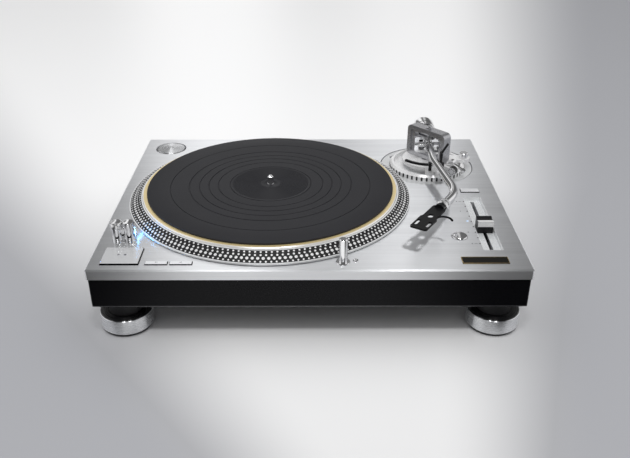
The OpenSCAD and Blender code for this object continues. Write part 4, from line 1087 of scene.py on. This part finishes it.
def led_skin():
    """The small lamp at the middle of the fader's scale."""
    profile = [(LED_R * share, height) for share, height in LED_LINE]
    return moved(turned(profile, LED_STEPS), at((LED_AT[0], from_front(LED_AT[1]), PLATE_TOP)))


def start_mark():
    """A plain arrow and square on the start and stop key."""
    spot = top_of("start_stop_key") + Vector((0, MARK_UP, -PRINT_SINK))
    aside = Vector((MARK_APART, 0, 0))
    arrow = prism(((-MARK_HALF, -MARK_HALF), (MARK_HALF, 0.0), (-MARK_HALF, MARK_HALF)), PRINT_T)
    square = prism(rounded(MARK_SQUARE, MARK_SQUARE, MARK_CORNER), PRINT_T)
    return joined([moved(arrow, at(spot - aside)), moved(square, at(spot + aside))])


piece("power_knob_turned", power_knob_skin(), silver, "power_knob", ["power_knob"])
piece("strobe_cap", strobe_cap_skin(), chrome, "chassis")
piece("pitch_reset_dome", reset_key_skin(), chrome, "pitch_reset_key", ["pitch_reset_key"])
piece("light_release_dome", release_skin(), chrome, "light_release", ["light_release"])
piece("fader_knob_band", fader_band(), ink_white, "fader_knob")
piece("fader_trough_lining", trough_lining(), trough_pale, "chassis")
piece("fader_scale", fader_scale(), ink_black, "chassis")
piece("fader_figures", scale_figures(), ink_grey, "chassis")
piece("badge_edge", badge_edge(), gold, "chassis")
piece("pitch_led", led_skin(), lens_blue, "chassis")
piece("start_stop_mark", start_mark(), ink_grey, "start_stop_key")
for speed in ("33", "45"):
    speed_key = f"speed_{speed}_key"
    figures = moved(numeral(speed, KEY_FIGURE, PRINT_T), at(top_of(speed_key)))
    piece(f"speed_{speed}_figures", figures, ink_grey, speed_key)


# Back: coloured collars on the sockets

# A collar's inner and outer radius, and its thickness
COLLAR = (4.3, 6.4, 1.2)
COLLAR_EDGE = 0.3
COLLAR_STEPS = 48


def collar_skin(mount):
    """A plastic collar round a signal socket, on the panel."""
    spot = mm(MOUNTS[mount]["pos_m"])
    spot.y = box("terminal_panel")[1].y
    inner, outer, thick = COLLAR
    profile = [(inner, 0.0), (outer, 0.0), (outer, thick - COLLAR_EDGE), (outer - COLLAR_EDGE, thick),
               (inner, thick)]
    return moved(turned(profile, COLLAR_STEPS), along(spot, (0, 1, 0)))


collar_white = moulded("collar_white", (0.70, 0.70, 0.68), 0.35)
collar_red = moulded("collar_red", (0.55, 0.02, 0.02), 0.35)
piece("phono_collar_left", collar_skin("phono_left"), collar_white, "chassis")
piece("phono_collar_right", collar_skin("phono_right"), collar_red, "chassis")


# Studio: floor, world, lamps and camera, in metres

FLOOR_HALF = 9.0
# The floor's painted light and painted shade tones
FLOOR_PAINTED_LIGHT = (0.985, 0.985, 0.99)
FLOOR_PAINTED_SHADE = (0.415, 0.42, 0.445)
# Painted shade darkens the lit tone towards the front: the y where it is darkest, the y where it is full, and the
# least level
FLOOR_FRONT_SHADE = (-0.6, 0.2, 0.76)
# The painted light fans out from the front: the fan's spread, its slanted left edge and its right edge
FAN = (0.88, 0.96)
FAN_LEAST = 0.05
FAN_RISE = (0.477, -0.029)
FAN_SLANT = 0.85
FAN_LEFT = (-0.47, -0.21)
FAN_RIGHT = (0.378, 0.166)
# Where the lamps point, the direction of each, their distance and size, and their strengths
LAMP_AIM = Vector((0.0, -0.05, 0.1))
KEY_FROM = Vector((0.145, -0.43, 0.90))
FILL_FROM = Vector((-0.13, -0.43, 0.90))
LAMP_AWAY = 6.0
LAMP_SIZE = 0.6
KEY_WATTS = 48.0
FILL_WATTS = 44.0
# Level of the sky for matt surfaces, at the horizon and overhead, and how it bends between them
SKY_LOW = 0.08
SKY_HIGH = 1.52
SKY_BEND = 2.0
BACKDROP = 0.93
# What metal sees behind, in front and on the floor: a bright panel's middle, its half widths and its levels
PANEL_LEFT = (-0.13, 0.04, 0.135, 1.0, 0.14)
PANEL_RIGHT = (0.13, 0.02, 0.11, 0.60, 0.14)
PANEL_FRONT = (-0.05, 0.03, 0.24, 0.25, 0.06)
# On the floor this panel is a painted reflection, shown to glossy rays
PANEL_FLOOR = (-0.03, 0.09, 0.25, 0.98, 0.02)
# Where the front gives way to what is behind, and where the front's floor begins
BEHIND = (-0.15, 0.15)
FLOOR_FRONT = -0.2
# Bright walls at both sides of it: where they begin and are full, and their level
WALLS_SEEN = (0.55, 0.80, 0.85)
# On the floor these walls are part of that painted reflection
WALLS_FLOOR = (0.42, 0.60, 0.80)
CAMERA_AT = (0.00377, -0.82887, 0.48293)
CAMERA_DOWN = 28.518
CAMERA_RIGHT = 0.141
CAMERA_LENS = 43.04
CAMERA_SENSOR = 36.0
CAMERA_NEAREST = 0.01


def panel(finish, across, middle_at, inner, outer, light, dark, walls):
    """The level of a bright panel with soft edges, between two bright walls."""
    off = finish.math("ABSOLUTE", finish.math("SUBTRACT", across, middle_at))
    level = finish.soft(off, inner, outer, light, dark)
    begin, full, wall_level = walls
    side = finish.soft(finish.math("ABSOLUTE", across), begin, full, 0.0, wall_level)
    return finish.math("MAXIMUM", level, side)


def floor():
    """A wide paper floor with a fan of painted light round the object, painted shade beside it and to the front,
    and a painted reflection for metal in front.
    """
    half = FLOOR_HALF
    corners = [(-half, -half, 0), (half, -half, 0), (half, half, 0), (-half, half, 0)]
    mesh = bpy.data.meshes.new("floor")
    mesh.from_pydata(corners, [], [(0, 1, 2, 3)])
    finish = Finish("floor_paper", FLOOR_PAINTED_LIGHT, 0.30, 0.0, {"Specular IOR Level": 0.2})
    x, y, _ = finish.parts(finish.place())
    away = finish.math("MAXIMUM", finish.math("MULTIPLY_ADD", y, *FAN), FAN_LEAST)
    across = finish.math("DIVIDE", x, away)
    rise = finish.math("DIVIDE", finish.math("MULTIPLY_ADD", y, *FAN_RISE), away)
    slanted = finish.math("MULTIPLY_ADD", rise, FAN_SLANT, across)
    # A fan of painted light on the floor, with painted shade beside it and towards the front
    lit = finish.math("MULTIPLY", finish.soft(slanted, *FAN_LEFT), finish.soft(across, *FAN_RIGHT))
    front_shade = finish.spread(y, *FLOOR_FRONT_SHADE, 1.0)
    level = finish.math("MAXIMUM", front_shade, finish.math("SUBTRACT", 1.0, lit))
    shaded = finish.mix(lit, FLOOR_PAINTED_SHADE, FLOOR_PAINTED_LIGHT)
    plain = finish.node("VectorMath", {0: shaded, 3: level}, operation="SCALE").outputs[0]
    # Glossy rays in front of the object see a painted reflection: a graded grey panel in place of the floor's tone
    mirrored = finish.math("MULTIPLY", finish.node("LightPath").outputs["Is Glossy Ray"],
                           finish.math("LESS_THAN", y, FLOOR_FRONT))
    seen = panel(finish, x, *PANEL_FLOOR, WALLS_FLOOR)
    grey = finish.vector(seen, seen, seen)
    tone = finish.node("Mix", {0: mirrored, 6: plain, 7: grey}, data_type="RGBA").outputs[2]
    finish.feed("Base Color", tone)
    mesh.materials.append(finish.material)
    made = bpy.data.objects.new("floor", mesh)
    bpy.context.scene.collection.objects.link(made)


class Studio(Finish):
    """The world's nodes, with the same short ways to feed them."""

    def __init__(self, name):
        self.world = bpy.data.worlds.new(name)
        self.world.use_nodes = True
        self.tree = self.world.node_tree
        self.shader = self.tree.nodes["Background"]
        bpy.context.scene.world = self.world


def studio_world():
    """A pale backdrop for the camera, a graded one for metal, and light from above for the rest."""
    studio = Studio("studio")
    path = studio.node("LightPath").outputs
    x, y, z = studio.parts(studio.node("TexCoord").outputs["Generated"])
    behind = studio.spread(y, *BEHIND)
    front_level = panel(studio, x, *PANEL_FRONT, WALLS_SEEN)
    back_level = studio.math("MAXIMUM", panel(studio, x, *PANEL_LEFT, WALLS_SEEN),
                             panel(studio, x, *PANEL_RIGHT, WALLS_SEEN))
    graded = studio.node("Mix", {0: behind, 2: front_level, 3: back_level}).outputs[0]
    high = studio.math("POWER", studio.math("MAXIMUM", z, 0.0), SKY_BEND)
    sky = studio.spread(high, 0.0, 1.0, SKY_LOW, SKY_HIGH)
    shiny = studio.math("MAXIMUM", path["Is Glossy Ray"], path["Is Transmission Ray"])
    lighting = studio.node("Mix", {0: shiny, 2: sky, 3: graded}).outputs[0]
    seen = studio.node("Mix", {0: path["Is Camera Ray"], 2: lighting, 3: BACKDROP}).outputs[0]
    studio.shader.inputs["Color"].default_value = (1.0, 1.0, 1.0, 1.0)
    studio.feed("Strength", seen)


def lamp(name, heading, watts):
    """A small square lamp, far off in a direction."""
    data = bpy.data.lights.new(name, "AREA")
    data.size = LAMP_SIZE
    data.energy = watts
    made = bpy.data.objects.new(name, data)
    made.location = LAMP_AIM + heading.normalized() * LAMP_AWAY
    made.rotation_euler = (-heading).to_track_quat("-Z", "Y").to_euler()
    made.visible_camera = False
    bpy.context.scene.collection.objects.link(made)


def camera():
    data = bpy.data.cameras.new("camera")
    data.lens = CAMERA_LENS
    data.sensor_width = CAMERA_SENSOR
    data.sensor_fit = "HORIZONTAL"
    data.clip_start = CAMERA_NEAREST
    made = bpy.data.objects.new("camera", data)
    made.location = CAMERA_AT
    made.rotation_euler = (math.radians(90 - CAMERA_DOWN), 0, math.radians(-CAMERA_RIGHT))
    bpy.context.scene.collection.objects.link(made)
    bpy.context.scene.camera = made


floor()
studio_world()
lamp("key", KEY_FROM, KEY_WATTS)
lamp("fill", FILL_FROM, FILL_WATTS)
camera()
bpy.context.scene.view_settings.view_transform = "Standard"
